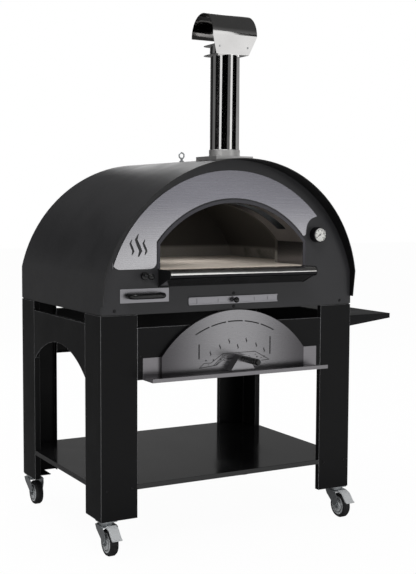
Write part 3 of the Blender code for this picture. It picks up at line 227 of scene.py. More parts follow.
# ---- stand: legs, aprons and arched side panels ---------------------------------------------
# Folded sheet steel, bolted together. The folds have a small radius, and every piece is powder
# coated satin black in one batch.
def fold_group(sharpest):
    """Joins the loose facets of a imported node, then shades it smooth below that many degrees."""
    group = bpy.data.node_groups.new("fold_and_shade", "GeometryNodeTree")
    group.interface.new_socket("Geometry", in_out="INPUT", socket_type="NodeSocketGeometry")
    group.interface.new_socket("Geometry", in_out="OUTPUT", socket_type="NodeSocketGeometry")
    start = group.nodes.new("NodeGroupInput")
    plain = add_node(group, "GeometryNodeRemoveAttribute", {},
                     {"Geometry": start.outputs[0], "Name": "custom_normal"})
    welded = add_node(group, "GeometryNodeMergeByDistance", {},
                      {"Geometry": plain.outputs[0], "Distance": 0.00002})
    round_faces = add_node(group, "GeometryNodeSetShadeSmooth", {"domain": "FACE"},
                           {"Geometry": welded.outputs[0]})
    bend = group.nodes.new("GeometryNodeInputMeshEdgeAngle")
    creased = add_node(group, "FunctionNodeCompare", {"data_type": "FLOAT", "operation": "GREATER_THAN"},
                       {0: bend.outputs[0], 1: math.radians(sharpest)})
    sharp_edges = add_node(group, "GeometryNodeSetShadeSmooth", {"domain": "EDGE"},
                           {"Geometry": round_faces.outputs[0], "Selection": creased.outputs[0],
                            "Shade Smooth": False})
    add_node(group, "NodeGroupOutput", {}, {0: sharp_edges.outputs[0]})
    return group


FOLD = fold_group(33.0)


def dress(name, material, edge):
    """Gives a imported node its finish, and rounds its edges by that many metres."""
    part = frame["nodes"][name]
    part.data.materials.clear()
    part.data.materials.append(material)
    part.modifiers.new("fold", "NODES").node_group = FOLD
    if edge > 0:
        bevel = part.modifiers.new("edge", "BEVEL")
        bevel.width = edge
        bevel.segments = 2
        bevel.limit_method = "ANGLE"
        bevel.angle_limit = math.radians(50.0)
        bevel.harden_normals = True
    part.modifiers.new("flats_stay_flat", "WEIGHTED_NORMAL").keep_sharp = True
    return part


def start_finish(name):
    """A new finish: the material, its nodes, its shader, and places on the piece in metres."""
    material = bpy.data.materials.new(name)
    material.use_nodes = True
    tree = material.node_tree
    spot = add_node(tree, "ShaderNodeTexCoord", {}, {}).outputs["Object"]
    return material, tree, tree.nodes["Principled BSDF"], spot


def powder_coat(name, dark, light, sheen, peel, gloss_share):
    """Baked polyester powder on steel: an even satin skin with fine orange peel and faint clouds."""
    material, tree, shader, spot = start_finish(name)
    cloud = add_node(tree, "ShaderNodeTexNoise", {},
                     {"Vector": spot, "Scale": 6.0, "Detail": 5.0, "Roughness": 0.6})
    speck = add_node(tree, "ShaderNodeTexNoise", {}, {"Vector": spot, "Scale": 1 / 0.0035, "Detail": 2.0})
    both = add_node(tree, "ShaderNodeMix", {"data_type": "FLOAT"},
                    {0: 0.35, 2: cloud.outputs[0], 3: speck.outputs[0]})
    tint = add_node(tree, "ShaderNodeMix", {"data_type": "RGBA"},
                    {0: both.outputs[0], 6: linear(dark), 7: linear(light)})
    gloss = add_node(tree, "ShaderNodeMapRange", {},
                     {"Value": cloud.outputs[0], "From Min": 0.3, "From Max": 0.7, "To Min": sheen - 0.05,
                      "To Max": sheen + 0.06})
    skin = add_node(tree, "ShaderNodeBump", {},
                    {"Strength": peel, "Distance": 0.00025, "Height": speck.outputs[0]})
    shader.inputs["Specular IOR Level"].default_value = gloss_share
    tree.links.new(tint.outputs[2], shader.inputs["Base Color"])
    tree.links.new(gloss.outputs[0], shader.inputs["Roughness"])
    tree.links.new(skin.outputs[0], shader.inputs["Normal"])
    return material


def paint_edge_highlight(material, reach, highlight_tone):
    """Paints the coat paler along its edges and folds: a painted highlight."""
    tree = material.node_tree
    shader = tree.nodes["Principled BSDF"]
    rounded = add_node(tree, "ShaderNodeBevel", {"samples": 8}, {"Radius": reach})
    shape = add_node(tree, "ShaderNodeNewGeometry", {}, {})
    alike = add_node(tree, "ShaderNodeVectorMath", {"operation": "DOT_PRODUCT"},
                     {0: rounded.outputs[0], 1: shape.outputs["True Normal"]})
    amount = add_node(tree, "ShaderNodeMapRange", {},
                      {"Value": alike.outputs["Value"], "From Min": 0.985, "From Max": 0.86, "To Max": 0.85})
    coat = shader.inputs["Base Color"].links[0].from_socket
    both = add_node(tree, "ShaderNodeMix", {"data_type": "RGBA"},
                    {0: amount.outputs[0], 6: coat, 7: linear(highlight_tone)})
    tree.links.new(both.outputs[2], shader.inputs["Base Color"])


def paint_shade_inside(material, across, centre, shade_tone):
    """Paints the faces of a rolled sheet which look toward its axis darker: painted shade inside the roll."""
    tree = material.node_tree
    shader = tree.nodes["Principled BSDF"]
    spot = add_node(tree, "ShaderNodeTexCoord", {}, {})
    arm = add_node(tree, "ShaderNodeVectorMath", {"operation": "SUBTRACT"},
                   {0: spot.outputs["Object"], 1: centre})
    flat = add_node(tree, "ShaderNodeVectorMath", {"operation": "MULTIPLY"}, {0: arm.outputs[0], 1: across})
    facing = add_node(tree, "ShaderNodeVectorMath", {"operation": "DOT_PRODUCT"},
                      {0: flat.outputs[0], 1: spot.outputs["Normal"]})
    inward = add_node(tree, "ShaderNodeMath", {"operation": "LESS_THAN"},
                      {0: facing.outputs["Value"], 1: 0.0})
    outside = shader.inputs["Base Color"].links[0].from_socket
    both = add_node(tree, "ShaderNodeMix", {"data_type": "RGBA"},
                    {0: inward.outputs[0], 6: outside, 7: linear(shade_tone)})
    tree.links.new(both.outputs[2], shader.inputs["Base Color"])


# The peel is drawn at 3.5 mm, about twice its real size, so that it shows.
STAND_COAT = powder_coat("powder_coated_steel_stand", "0c0c0d", "131314", 0.36, 0.30, 0.12)
# The stand's edges and folds get a painted highlight.
paint_edge_highlight(STAND_COAT, 0.0024, "a2a2a4")
for corner in ("front_left", "front_right", "back_left", "back_right"):
    dress("leg_" + corner, STAND_COAT, 0.0009)
for name in ("front_apron", "back_apron", "side_panel_left", "side_panel_right"):
    dress(name, STAND_COAT, 0.0007)

# ---- screws of the stand --------------------------------------------------------------------
# Black button-head screws with a hexagon socket, driven into the legs from both faces.
SCREW_BLACK = powder_coat("black_oxide_screw_steel", "0c0c0d", "18181a", 0.34, 0.1, 0.3)


def screw_rings(radius, rise):
    """Rings of a button head from the rim in to the floor of its hexagon socket."""
    hexagon = radius * 0.46
    return ((radius, 0.0, False), (radius, rise * 0.30, False), (radius * 0.88, rise * 0.72, False),
            (radius * 0.66, rise, False), (hexagon, rise * 0.98, True), (hexagon, rise * 0.35, True))


def add_screw(mesh, at, out, radius, rise):
    """One screw head in the mesh, with its seat at a point and facing outward."""
    steps = 18
    facing = Vector(out).to_track_quat("Z", "Y").to_matrix().to_4x4()
    facing.translation = Vector(at)
    rows = []
    for ring_radius, level, six_sided in screw_rings(radius, rise):
        row = []
        for step in range(steps):
            turn = 2 * math.pi * step / steps
            reach = ring_radius
            if six_sided:
                reach = ring_radius * math.cos(math.pi / 6) / math.cos((turn % (math.pi / 3)) - math.pi / 6)
            corner = Vector((reach * math.cos(turn), reach * math.sin(turn), level))
            row.append(mesh.verts.new(facing @ corner))
        rows.append(row)
    for low, high in zip(rows, rows[1:]):
        for step in range(steps):
            after = (step + 1) % steps
            mesh.faces.new((low[step], low[after], high[after], high[step])).smooth = True
    mesh.faces.new(rows[-1])
    mesh.faces.new(rows[0][::-1])


def add_piece(name, mesh, material, body):
    """Turns a built mesh into a piece which rides on a body and has its finish."""
    bmesh.ops.recalc_face_normals(mesh, faces=mesh.faces)
    data = bpy.data.meshes.new(name)
    mesh.to_mesh(data)
    mesh.free()
    data.materials.append(material)
    data.set_sharp_from_angle(angle=math.radians(38.0))
    piece = bpy.data.objects.new(name, data)
    bpy.context.scene.collection.objects.link(piece)
    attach(piece, body)
    return piece


LEG_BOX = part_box("leg_front_left")
LEG_WIDTH = LEG_BOX[1][0] - LEG_BOX[0][0]
SCREW_INSET = 0.022
SCREW_LEVEL = 0.112
SUNK = 0.0022             # the side heads are countersunk, so the stand stays slim
LEG_SCREW = (0.0048, 0.0026)      # radius of the head and how far it rises
heads = bmesh.new()
for sx in (-1, 1):
    for sy in (-1, 1):
        face_x = sx * -LEG_BOX[0][0]
        face_y = sy * -LEG_BOX[0][1]
        level = LEG_BOX[0][2] + SCREW_LEVEL
        for across in (SCREW_INSET, LEG_WIDTH - SCREW_INSET):
            add_screw(heads, (sx * (-LEG_BOX[0][0] - across), face_y, level), (0, sy, 0), *LEG_SCREW)
            add_screw(heads, (face_x - sx * SUNK, sy * (-LEG_BOX[0][1] - across), level), (sx, 0, 0),
                      *LEG_SCREW)
add_piece("leg_screws", heads, SCREW_BLACK, "oven_stand")

# ---- lower shelf ----------------------------------------------------------------------------
# One folded tray of sheet steel, notched round the legs and finished in gloss black enamel.
GLOSS_ENAMEL = powder_coat("gloss_black_enamelled_steel", "0b0b0c", "121213", 0.14, 0.0, 0.5)
dress("lower_shelf", GLOSS_ENAMEL, 0.0008)

# ---- side shelf -----------------------------------------------------------------------------
# A folded shelf hooked on the right-hand side, in the same satin powder coat drawn a little paler.
SHELF_COAT = powder_coat("powder_coated_steel_shelf", "0f0f10", "171718", 0.36, 0.35, 0.12)
dress("side_shelf", SHELF_COAT, 0.0008)


# ---- door holder ----------------------------------------------------------------------------
# A long open channel in stainless sheet, brushed along its length, screwed to the front apron.
def brushed_stainless(name, dark, light, along, sheen, fade):
    """Belt-ground 304 stainless: fine parallel scratches which stretch every highlight.

    A fade is painted shade: an axis, the places where it starts and ends, and how dark the steel is painted
    at its start.
    """
    material, tree, shader, spot = start_finish(name)
    stretch = [1 / 0.0022] * 3
    stretch["XYZ".index(along)] = 1 / 0.12
    lines = add_node(tree, "ShaderNodeMapping", {}, {"Vector": spot, "Scale": tuple(stretch)})
    scratch = add_node(tree, "ShaderNodeTexNoise", {},
                       {"Vector": lines.outputs[0], "Scale": 1.0, "Detail": 4.0, "Roughness": 0.65})
    cloud = add_node(tree, "ShaderNodeTexNoise", {}, {"Vector": spot, "Scale": 4.0, "Detail": 3.0})
    both = add_node(tree, "ShaderNodeMix", {"data_type": "FLOAT"},
                    {0: 0.30, 2: scratch.outputs[0], 3: cloud.outputs[0]})
    tint = add_node(tree, "ShaderNodeMix", {"data_type": "RGBA"},
                    {0: both.outputs[0], 6: linear(dark), 7: linear(light)})
    gloss = add_node(tree, "ShaderNodeMapRange", {},
                     {"Value": both.outputs[0], "From Min": 0.3, "From Max": 0.7, "To Min": sheen - 0.03,
                      "To Max": sheen + 0.04})
    grain = add_node(tree, "ShaderNodeBump", {},
                     {"Strength": 0.10, "Distance": 0.0001, "Height": scratch.outputs[0]})
    shader.inputs["Metallic"].default_value = 1.0
    shader.inputs["Anisotropic"].default_value = 0.4
    surface = tint.outputs[2]
    if fade:
        fade_axis, fade_start, fade_end, painted_shade_tone = fade
        where = add_node(tree, "ShaderNodeSeparateXYZ", {}, {0: spot})
        level = where.outputs[fade_axis]
        if fade_axis == "X":
            level = add_node(tree, "ShaderNodeMath", {"operation": "ABSOLUTE"}, {0: level}).outputs[0]
        amount = add_node(tree, "ShaderNodeMapRange", {"interpolation_type": "SMOOTHSTEP"},
                          {"Value": level, "From Min": fade_start, "From Max": fade_end, "To Min": 1.0,
                           "To Max": 0.0})
        surface = add_node(tree, "ShaderNodeMix", {"data_type": "RGBA", "blend_type": "MULTIPLY"},
                           {0: amount.outputs[0], 6: surface, 7: linear(painted_shade_tone)}).outputs[2]
    tree.links.new(surface, shader.inputs["Base Color"])
    tree.links.new(gloss.outputs[0], shader.inputs["Roughness"])
    tree.links.new(grain.outputs[0], shader.inputs["Normal"])
    return material


# Scratches are drawn 2 mm apart, about ten times their real spacing, so that they show.
BRUSHED_X = brushed_stainless("brushed_304_stainless_lengthwise", "86858a", "9b9a9d", "X", 0.30, None)
# The holder's copy of the steel is painted darker than the lengthwise steel: painted shade.
SHADED_HOLDER_STEEL = brushed_stainless("brushed_304_stainless_holder", "7a787b", "8c8a8d", "X", 0.30, None)
BRUSHED_Z = brushed_stainless("brushed_304_stainless_upright", "8e8d90", "a4a3a5", "Z", 0.30, None)
dress("door_holder", SHADED_HOLDER_STEEL, 0.0005)

# ---- lift-off door --------------------------------------------------------------------------
# A pan-folded stainless door with cut slots, stored upright in its holder. The folded bracket
# and the ribbed black grip are screwed to its face.
# The door is painted darker toward its two ends than in its middle: a painted sheen.
DOOR_STEEL = brushed_stainless("brushed_304_stainless_door", "908f92", "9f9ea0", "X", 0.28,
                               ("X", 0.34, 0.02, "8c8a8c"))
dress("door_panel", DOOR_STEEL, 0.0006)
dress("door_handle_bracket", BRUSHED_Z, 0.0008)


def moulded_phenolic(name, sheen):
    """Compression-moulded phenolic: near black, glossy, with a faint flow texture."""
    material, tree, shader, spot = start_finish(name)
    flow = add_node(tree, "ShaderNodeTexNoise", {}, {"Vector": spot, "Scale": 60.0, "Detail": 4.0})
    tint = add_node(tree, "ShaderNodeMix", {"data_type": "RGBA"},
                    {0: flow.outputs[0], 6: linear("0a0a0b"), 7: linear("1a1a1b")})
    gloss = add_node(tree, "ShaderNodeMapRange", {}, {"Value": flow.outputs[0], "To Min": sheen - 0.04,
                                                      "To Max": sheen + 0.06})
    shader.inputs["IOR"].default_value = 1.6
    shader.inputs["Specular IOR Level"].default_value = 0.3
    tree.links.new(tint.outputs[2], shader.inputs["Base Color"])
    tree.links.new(gloss.outputs[0], shader.inputs["Roughness"])
    return material


PHENOLIC = moulded_phenolic("black_moulded_phenolic", 0.20)
dress("door_handle_grip", PHENOLIC, 0.0)

# ---- etched picture -------------------------------------------------------------------------
# Beside its cut slots the door carries a laser-etched line drawing of an oven floor.
ETCH_WIDTH = 0.0022
ETCH_PROUD = 0.00015
DOOR_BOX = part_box("door_panel")
# Each point is how far it lies right of the middle of the door and above its lower edge.
FLOOR_LINE = ((-0.157, 0.027), (-0.136, 0.044), (-0.107, 0.0435), (-0.055, 0.076), (0.087, 0.076),
              (0.151, 0.041), (0.117, 0.039))
LEDGE_LINE = ((-0.157, 0.027), (-0.112, 0.031), (-0.084, 0.0335), (-0.049, 0.0555), (0.018, 0.0560))
LEFT_BAR = ((-0.095, 0.0330), (-0.053, 0.0700))
RIGHT_BAR = ((-0.086, 0.0345), (-0.046, 0.0690))
SPOTS = ((-0.118, 0.037), (-0.049, 0.060), (-0.034, 0.062), (-0.005, 0.063), (-0.049, 0.049), (-0.009, 0.053),
         (0.089, 0.064), (0.115, 0.049), (0.060, 0.060))
etching = bmesh.new()
SPOT_HALF = 0.0016
SPOT_TILT = 0.0002
strokes = []
for line in (FLOOR_LINE, LEDGE_LINE, LEFT_BAR, RIGHT_BAR):
    strokes += zip(line, line[1:])
strokes += [((x - SPOT_HALF, z), (x + SPOT_HALF, z + SPOT_TILT)) for x, z in SPOTS]
for start, end in strokes:
    along = Vector((end[0] - start[0], 0.0, end[1] - start[1])).normalized()
    half = Vector((-along.z, 0.0, along.x)) * ETCH_WIDTH / 2
    first = Vector((start[0], DOOR_BOX[0][1], DOOR_BOX[0][2] + start[1])) - along * ETCH_WIDTH / 2
    last = Vector((end[0], DOOR_BOX[0][1], DOOR_BOX[0][2] + end[1])) + along * ETCH_WIDTH / 2
    low = [etching.verts.new(corner) for corner in (first - half, last - half, last + half, first + half)]
    high = [etching.verts.new(corner.co - Vector((0.0, ETCH_PROUD, 0.0))) for corner in low]
    etching.faces.new(low)
    etching.faces.new(high[::-1])
    for step in range(4):
        after = (step + 1) % 4
        etching.faces.new((low[step], low[after], high[after], high[step]))
add_piece("etched_picture", etching, SCREW_BLACK, "door")
# A black sheet lies behind the front sheet and shows as black in the slots: painted shade inside the door.
SHADE_SHEET_INSET = 0.014
SHADE_SHEET_BACK = 0.0030
SHADE_SHEET_THICK = 0.001
SHADE_SHEET_STEPS = 24
SHOULDER = 0.079          # how far the round top starts above the lower edge
shade_sheet_half = DOOR_BOX[1][0] - SHADE_SHEET_INSET
shade_sheet_low = DOOR_BOX[0][2] + SHADE_SHEET_INSET
shade_sheet_rise = DOOR_BOX[1][2] - DOOR_BOX[0][2] - SHOULDER
shade_sheet_radius = (shade_sheet_half ** 2 + shade_sheet_rise ** 2) / (2 * shade_sheet_rise)
spread = math.asin(shade_sheet_half / shade_sheet_radius)
outline = [(shade_sheet_half, shade_sheet_low), (-shade_sheet_half, shade_sheet_low)]
for step in range(SHADE_SHEET_STEPS + 1):
    turn = -spread + 2 * spread * step / SHADE_SHEET_STEPS
    outline.append((shade_sheet_radius * math.sin(turn),
                    DOOR_BOX[1][2] - SHADE_SHEET_INSET - shade_sheet_radius * (1 - math.cos(turn))))
board = bmesh.new()
near = [board.verts.new((x, DOOR_BOX[0][1] + SHADE_SHEET_BACK, z)) for x, z in outline]
far = [board.verts.new((x, DOOR_BOX[0][1] + SHADE_SHEET_BACK + SHADE_SHEET_THICK, z)) for x, z in outline]
board.faces.new(near)
board.faces.new(far[::-1])
for step in range(len(outline)):
    after = (step + 1) % len(outline)
    board.faces.new((near[step], near[after], far[after], far[step]))
add_piece("door_shade_sheet", board, SCREW_BLACK, "door")


# ---- oven casing: base pan, roof shell, front and back --------------------------------------
# Rolled and folded sheet in satin black stove paint. The round roof runs forward past the
# front panel as a leaning visor.
SHELL_COAT = powder_coat("stove_painted_steel_shell", "1e1e1f", "28282a", 0.42, 0.35, 0.45)
# The inside of the roof shell and its visor is painted near black: painted shade.
paint_shade_inside(SHELL_COAT, (1.0, 0.0, 1.0), (0.0, 0.0, 0.95), "050505")
FRONT_COAT = powder_coat("stove_painted_steel_front", "2a2a2c", "313133", 0.36, 0.30, 0.3)
dress("base_pan", SHELL_COAT, 0.0006)
dress("outer_shell", SHELL_COAT, 0.0006)
dress("front_panel", FRONT_COAT, 0.0)
dress("back_panel", SHELL_COAT, 0.0006)

# ---- screws of the casing -------------------------------------------------------------------
# The same black button heads: one at each lower corner of the front panel, two which hold the
# air strip, and two at the left of the door holder.
PANEL_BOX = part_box("front_panel")
PANEL_FACE = PANEL_BOX[0][1]
AIR_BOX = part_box("air_slide_frame")
APRON_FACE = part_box("front_apron")[0][1]
PANEL_SCREW = (0.0058, 0.0030)
PANEL_SCREW_X = 0.495
PANEL_SCREW_RISE = 0.013
ABOVE_STRIP = 0.010
BELOW_STRIP = 0.011
HOLDER_SCREW = (0.0040, 0.0024)
HOLDER_SCREW_X = -0.3925
HOLDER_SCREW_LEVELS = (0.671, 0.722)
heads = bmesh.new()
for sx in (-1, 1):
    add_screw(heads, (sx * PANEL_SCREW_X, PANEL_FACE, PANEL_BOX[0][2] + PANEL_SCREW_RISE), (0, -1, 0),
              *PANEL_SCREW)
for level in (AIR_BOX[1][2] + ABOVE_STRIP, AIR_BOX[0][2] - BELOW_STRIP):
    add_screw(heads, (0.0, PANEL_FACE, level), (0, -1, 0), *PANEL_SCREW)
for level in HOLDER_SCREW_LEVELS:
    add_screw(heads, (HOLDER_SCREW_X, APRON_FACE, level), (0, -1, 0), *HOLDER_SCREW)
add_piece("panel_screws", heads, SCREW_BLACK, "oven_stand")

# ---- trim plate and mouth sleeve ------------------------------------------------------------
# The plate is laser cut from brushed stainless and stands just off the panel. The sleeve is
# rolled stainless, and its front flange frames the mouth.
# The plate is painted darker above the mouth: painted shade.
PLATE_STEEL = brushed_stainless("brushed_304_stainless_plate", "b9b8bb", "c2c1c4", "X", 0.27,
                                 ("Z", 1.32, 1.00, "a6a6ac"))
dress("trim_plate", PLATE_STEEL, 0.0004)
# The sleeve's steel is drawn darker than the plate's, and its front flange is painted darker still: painted
# shade in and round the mouth.
SLEEVE_STEEL = brushed_stainless("brushed_304_stainless_sleeve", "6f6e71", "8f8e90", "Y", 0.20,
                                  ("Y", -0.4185, -0.4165, "7a7a7e"))
dress("mouth_sleeve", SLEEVE_STEEL, 0.0003)


# ---- sill -----------------------------------------------------------------------------------
# A rolled stainless ledge under the mouth, buffed bright, closed at both ends by black plates.
def buffed_stainless(name, dark, light, sheen):
    """Mirror-buffed 304 stainless, with faint wipe marks that break the reflection."""
    material, tree, shader, spot = start_finish(name)
    wipe = add_node(tree, "ShaderNodeTexNoise", {},
                    {"Vector": spot, "Scale": 9.0, "Detail": 6.0, "Roughness": 0.6})
    tint = add_node(tree, "ShaderNodeMix", {"data_type": "RGBA"},
                    {0: wipe.outputs[0], 6: linear(dark), 7: linear(light)})
    gloss = add_node(tree, "ShaderNodeMapRange", {},
                     {"Value": wipe.outputs[0], "From Min": 0.3, "From Max": 0.7, "To Min": sheen,
                      "To Max": sheen + 0.06})
    shader.inputs["Metallic"].default_value = 1.0
    tree.links.new(tint.outputs[2], shader.inputs["Base Color"])
    tree.links.new(gloss.outputs[0], shader.inputs["Roughness"])
    return material


MIRROR = buffed_stainless("buffed_304_stainless", "d2d1d0", "ecebea", 0.03)
SILL_STEEL = buffed_stainless("buffed_304_stainless_sill", "d8d6d4", "ecebe9", 0.16)
# Its underside is painted dark: painted shade.
paint_shade_inside(SILL_STEEL, (0.0, 0.0, 1.0), (0.0, 0.0, 0.0), "2a2a2c")
dress("sill", SILL_STEEL, 0.0)
SILL_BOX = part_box("sill")
CAP_THICK = 0.0035
CAP_PROUD = 0.0012
CAP_GAP = 0.0002
CAP_STEPS = 14
CAP_FROM = 90             # degrees round the rolled edge, from its top to under it
CAP_TO = 285
ROLL_RADIUS = 0.017
roll_y = SILL_BOX[0][1] + ROLL_RADIUS
roll_z = SILL_BOX[1][2] - ROLL_RADIUS
for side, face in ((-1, SILL_BOX[0][0]), (1, SILL_BOX[1][0])):
    outline = [(SILL_BOX[1][1], SILL_BOX[1][2] + CAP_PROUD)]
    for step in range(CAP_STEPS + 1):
        turn = math.radians(CAP_FROM + (CAP_TO - CAP_FROM) * step / CAP_STEPS)
        outline.append((roll_y + (ROLL_RADIUS + CAP_PROUD) * math.cos(turn),
                        roll_z + (ROLL_RADIUS + CAP_PROUD) * math.sin(turn)))
    outline.append((SILL_BOX[1][1], SILL_BOX[0][2] - CAP_PROUD))
    cap = bmesh.new()
    near = [cap.verts.new((face + side * CAP_GAP, y, z)) for y, z in outline]
    far = [cap.verts.new((face + side * (CAP_GAP + CAP_THICK), y, z)) for y, z in outline]
    cap.faces.new(near)
    cap.faces.new(far[::-1])
    for step in range(len(outline)):
        after = (step + 1) % len(outline)
        cap.faces.new((near[step], near[after], far[after], far[step]))
    bmesh.ops.bevel(cap, geom=[edge for edge in cap.edges if edge.calc_face_angle(0) > 1.0], offset=0.0006,
                    segments=2, affect="EDGES")
    add_piece("sill_cap_left" if side < 0 else "sill_cap_right", cap, SCREW_BLACK, "oven_stand")


# ---- hearth, grate, vault and lagging -------------------------------------------------------
# Cast refractory hearth, pale where it is swept and stained where the fire lies. The vault is
# the same castable, darkened above a line by soot and by painted shade. A cast iron grate sits in the slab.
def castable(name, dark, light, stain, stain_from, stain_to, rough, soot_and_shade_line):
    """Cast refractory: sandy matt body with small voids, stained by smoke in soft clouds.

    The soot and shade line is the two heights between which clean brick turns dark, from soot and painted
    shade, or None.
    """
    material, tree, shader, spot = start_finish(name)
    sand = add_node(tree, "ShaderNodeTexNoise", {}, {"Vector": spot, "Scale": 1 / 0.004, "Detail": 4.0})
    smoke = add_node(tree, "ShaderNodeTexNoise", {},
                     {"Vector": spot, "Scale": 5.0, "Detail": 5.0, "Roughness": 0.65})
    body = add_node(tree, "ShaderNodeMix", {"data_type": "RGBA"},
                    {0: sand.outputs[0], 6: linear(dark), 7: linear(light)})
    amount = add_node(tree, "ShaderNodeMapRange", {}, {"Value": smoke.outputs[0], "From Min": stain_from,
                                                       "From Max": stain_to})
    dirt = amount.outputs[0]
    if soot_and_shade_line:
        where = add_node(tree, "ShaderNodeSeparateXYZ", {}, {0: spot})
        above = add_node(tree, "ShaderNodeMapRange", {},
                         {"Value": where.outputs["Z"], "From Min": soot_and_shade_line[0], "From Max": soot_and_shade_line[1],
                          "To Max": 0.96})
        dirt = add_node(tree, "ShaderNodeMath", {"operation": "MAXIMUM"},
                        {0: dirt, 1: above.outputs[0]}).outputs[0]
    tint = add_node(tree, "ShaderNodeMix", {"data_type": "RGBA"},
                    {0: dirt, 6: body.outputs[2], 7: linear(stain)})
    pits = add_node(tree, "ShaderNodeBump", {},
                    {"Strength": 0.5, "Distance": 0.0006, "Height": sand.outputs[0]})
    shader.inputs["Roughness"].default_value = rough
    tree.links.new(tint.outputs[2], shader.inputs["Base Color"])
    tree.links.new(pits.outputs[0], shader.inputs["Normal"])
    return material


HEARTH_BRICK = castable("cast_refractory_hearth", "cbbfb2", "e2d8cc", "a4968a", 0.50, 0.80, 0.85, None)
dress("hearth_slab", HEARTH_BRICK, 0.0015)
SOOT_AND_SHADE_LINE = (1.080, 1.094)
VAULT_BRICK = castable("sooted_and_shaded_cast_refractory", "7a7670", "8d8983", "3a3733", 0.55, 0.75, 0.88, SOOT_AND_SHADE_LINE)
dress("chamber_vault", VAULT_BRICK, 0.0)
CAST_IRON = powder_coat("sand_cast_iron", "161515", "2a2827", 0.62, 1.0, 0.5)
dress("fire_grate", CAST_IRON, 0.0008)
LAGGING = castable("ceramic_fibre_blanket", "cfcabd", "e6e2d6", "b9b3a2", 0.55, 0.80, 1.0, None)
dress("insulation_blanket", LAGGING, 0.0)
GALVANISED = brushed_stainless("galvanised_sheet", "8d9092", "b3b6b8", "Z", 0.42, None)
dress("hearth_frame", GALVANISED, 0.0004)
dress("smoke_hood", GALVANISED, 0.0)

# ---- ash drawer -----------------------------------------------------------------------------
# A stainless tray whose brushed face stands on the panel, pulled by a black bow handle.
dress("ash_drawer", BRUSHED_X, 0.0005)
dress("ash_drawer_handle", PHENOLIC, 0.0)

# ---- air slide ------------------------------------------------------------------------------
# A stainless strip that slides in a folded channel over four ports, moved by a ball knob.
dress("air_slide_frame", BRUSHED_X, 0.0003)
dress("air_slide", BRUSHED_X, 0.0)
dress("air_slide_knob", PHENOLIC, 0.0)


# ---- pull rod -------------------------------------------------------------------------------
# A bright zinc-plated rod with a ball knob, guided by a black bush in the front panel.
def zinc_plate(name, sheen):
    """Bright zinc electroplate: bluish grey metal with soft mottling."""
    material, tree, shader, spot = start_finish(name)
    mottle = add_node(tree, "ShaderNodeTexNoise", {}, {"Vector": spot, "Scale": 1 / 0.008, "Detail": 4.0})
    tint = add_node(tree, "ShaderNodeMix", {"data_type": "RGBA"},
                    {0: mottle.outputs[0], 6: linear("8e9295"), 7: linear("d3d6d8")})
    gloss = add_node(tree, "ShaderNodeMapRange", {}, {"Value": mottle.outputs[0], "To Min": sheen - 0.08,
                                                      "To Max": sheen + 0.12})
    shader.inputs["Metallic"].default_value = 1.0
    tree.links.new(tint.outputs[2], shader.inputs["Base Color"])
    tree.links.new(gloss.outputs[0], shader.inputs["Roughness"])
    return material


ZINC = zinc_plate("zinc_plated_steel", 0.30)
dress("pull_rod", ZINC, 0.0)
dress("pull_rod_knob", PHENOLIC, 0.0)


def turned(mesh, profile, at, out, steps):
    """A closed ring turned from a profile of radius and height about an axis."""
    facing = Vector(out).to_track_quat("Z", "Y").to_matrix().to_4x4()
    facing.translation = Vector(at)
    rows = []
    for radius, level in profile:
        rows.append([mesh.verts.new(facing @ Vector((radius * math.cos(2 * math.pi * step / steps),
                                                     radius * math.sin(2 * math.pi * step / steps), level)))
                     for step in range(steps)])
    for low, high in zip(rows, rows[1:] + rows[:1]):
        for step in range(steps):
            after = (step + 1) % steps
            mesh.faces.new((low[step], low[after], high[after], high[step])).smooth = True


ROD_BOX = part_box("pull_rod")
rod_x = (ROD_BOX[0][0] + ROD_BOX[1][0]) / 2
rod_z = (ROD_BOX[0][2] + ROD_BOX[1][2]) / 2
BUSH_PROFILE = [(0.0050, 0.0), (0.0140, 0.0), (0.0140, 0.0080), (0.0128, 0.0105), (0.0085, 0.0125),
                (0.0050, 0.0130)]
BUSH_GAP = 0.0002
bush = bmesh.new()
turned(bush, BUSH_PROFILE, (rod_x, PANEL_FACE - BUSH_GAP, rod_z), (0, -1, 0), 28)
add_piece("pull_rod_bush", bush, PHENOLIC, "oven_stand")

# ---- thermometer ----------------------------------------------------------------------------
# A bimetal dial gauge: bright bezel, white enamelled dial with a ring of marks, flat glass.
GAUGE_CASE = buffed_stainless("turned_stainless_case", "2c2c2e", "4a4a4d", 0.22)
dress("thermometer_case", GAUGE_CASE, 0.0)
dress("thermometer_dial", powder_coat("white_enamelled_dial", "c9c9c5", "d8d8d4", 0.35, 0.05, 0.5), 0.0)
dress("thermometer_needle", SCREW_BLACK, 0.0)
window, tree, shader, spot = start_finish("flat_gauge_glass")
dust = add_node(tree, "ShaderNodeTexNoise", {}, {"Vector": spot, "Scale": 90.0, "Detail": 3.0})
haze = add_node(tree, "ShaderNodeMapRange", {}, {"Value": dust.outputs[0], "To Min": 0.0, "To Max": 0.06})
shader.inputs["Base Color"].default_value = WHITE
shader.inputs["Transmission Weight"].default_value = 1.0
shader.inputs["IOR"].default_value = 1.15
tree.links.new(haze.outputs[0], shader.inputs["Roughness"])
dress("thermometer_lens", window, 0.0)
DIAL_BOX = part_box("thermometer_dial")
dial_x = (DIAL_BOX[0][0] + DIAL_BOX[1][0]) / 2
dial_z = (DIAL_BOX[0][2] + DIAL_BOX[1][2]) / 2
SWEEP = 256               # degrees from the first mark to the last
MARK_STEPS = 25
MARK_OUTER = 0.0225
MARK_PROUD = 0.00012
marks = bmesh.new()
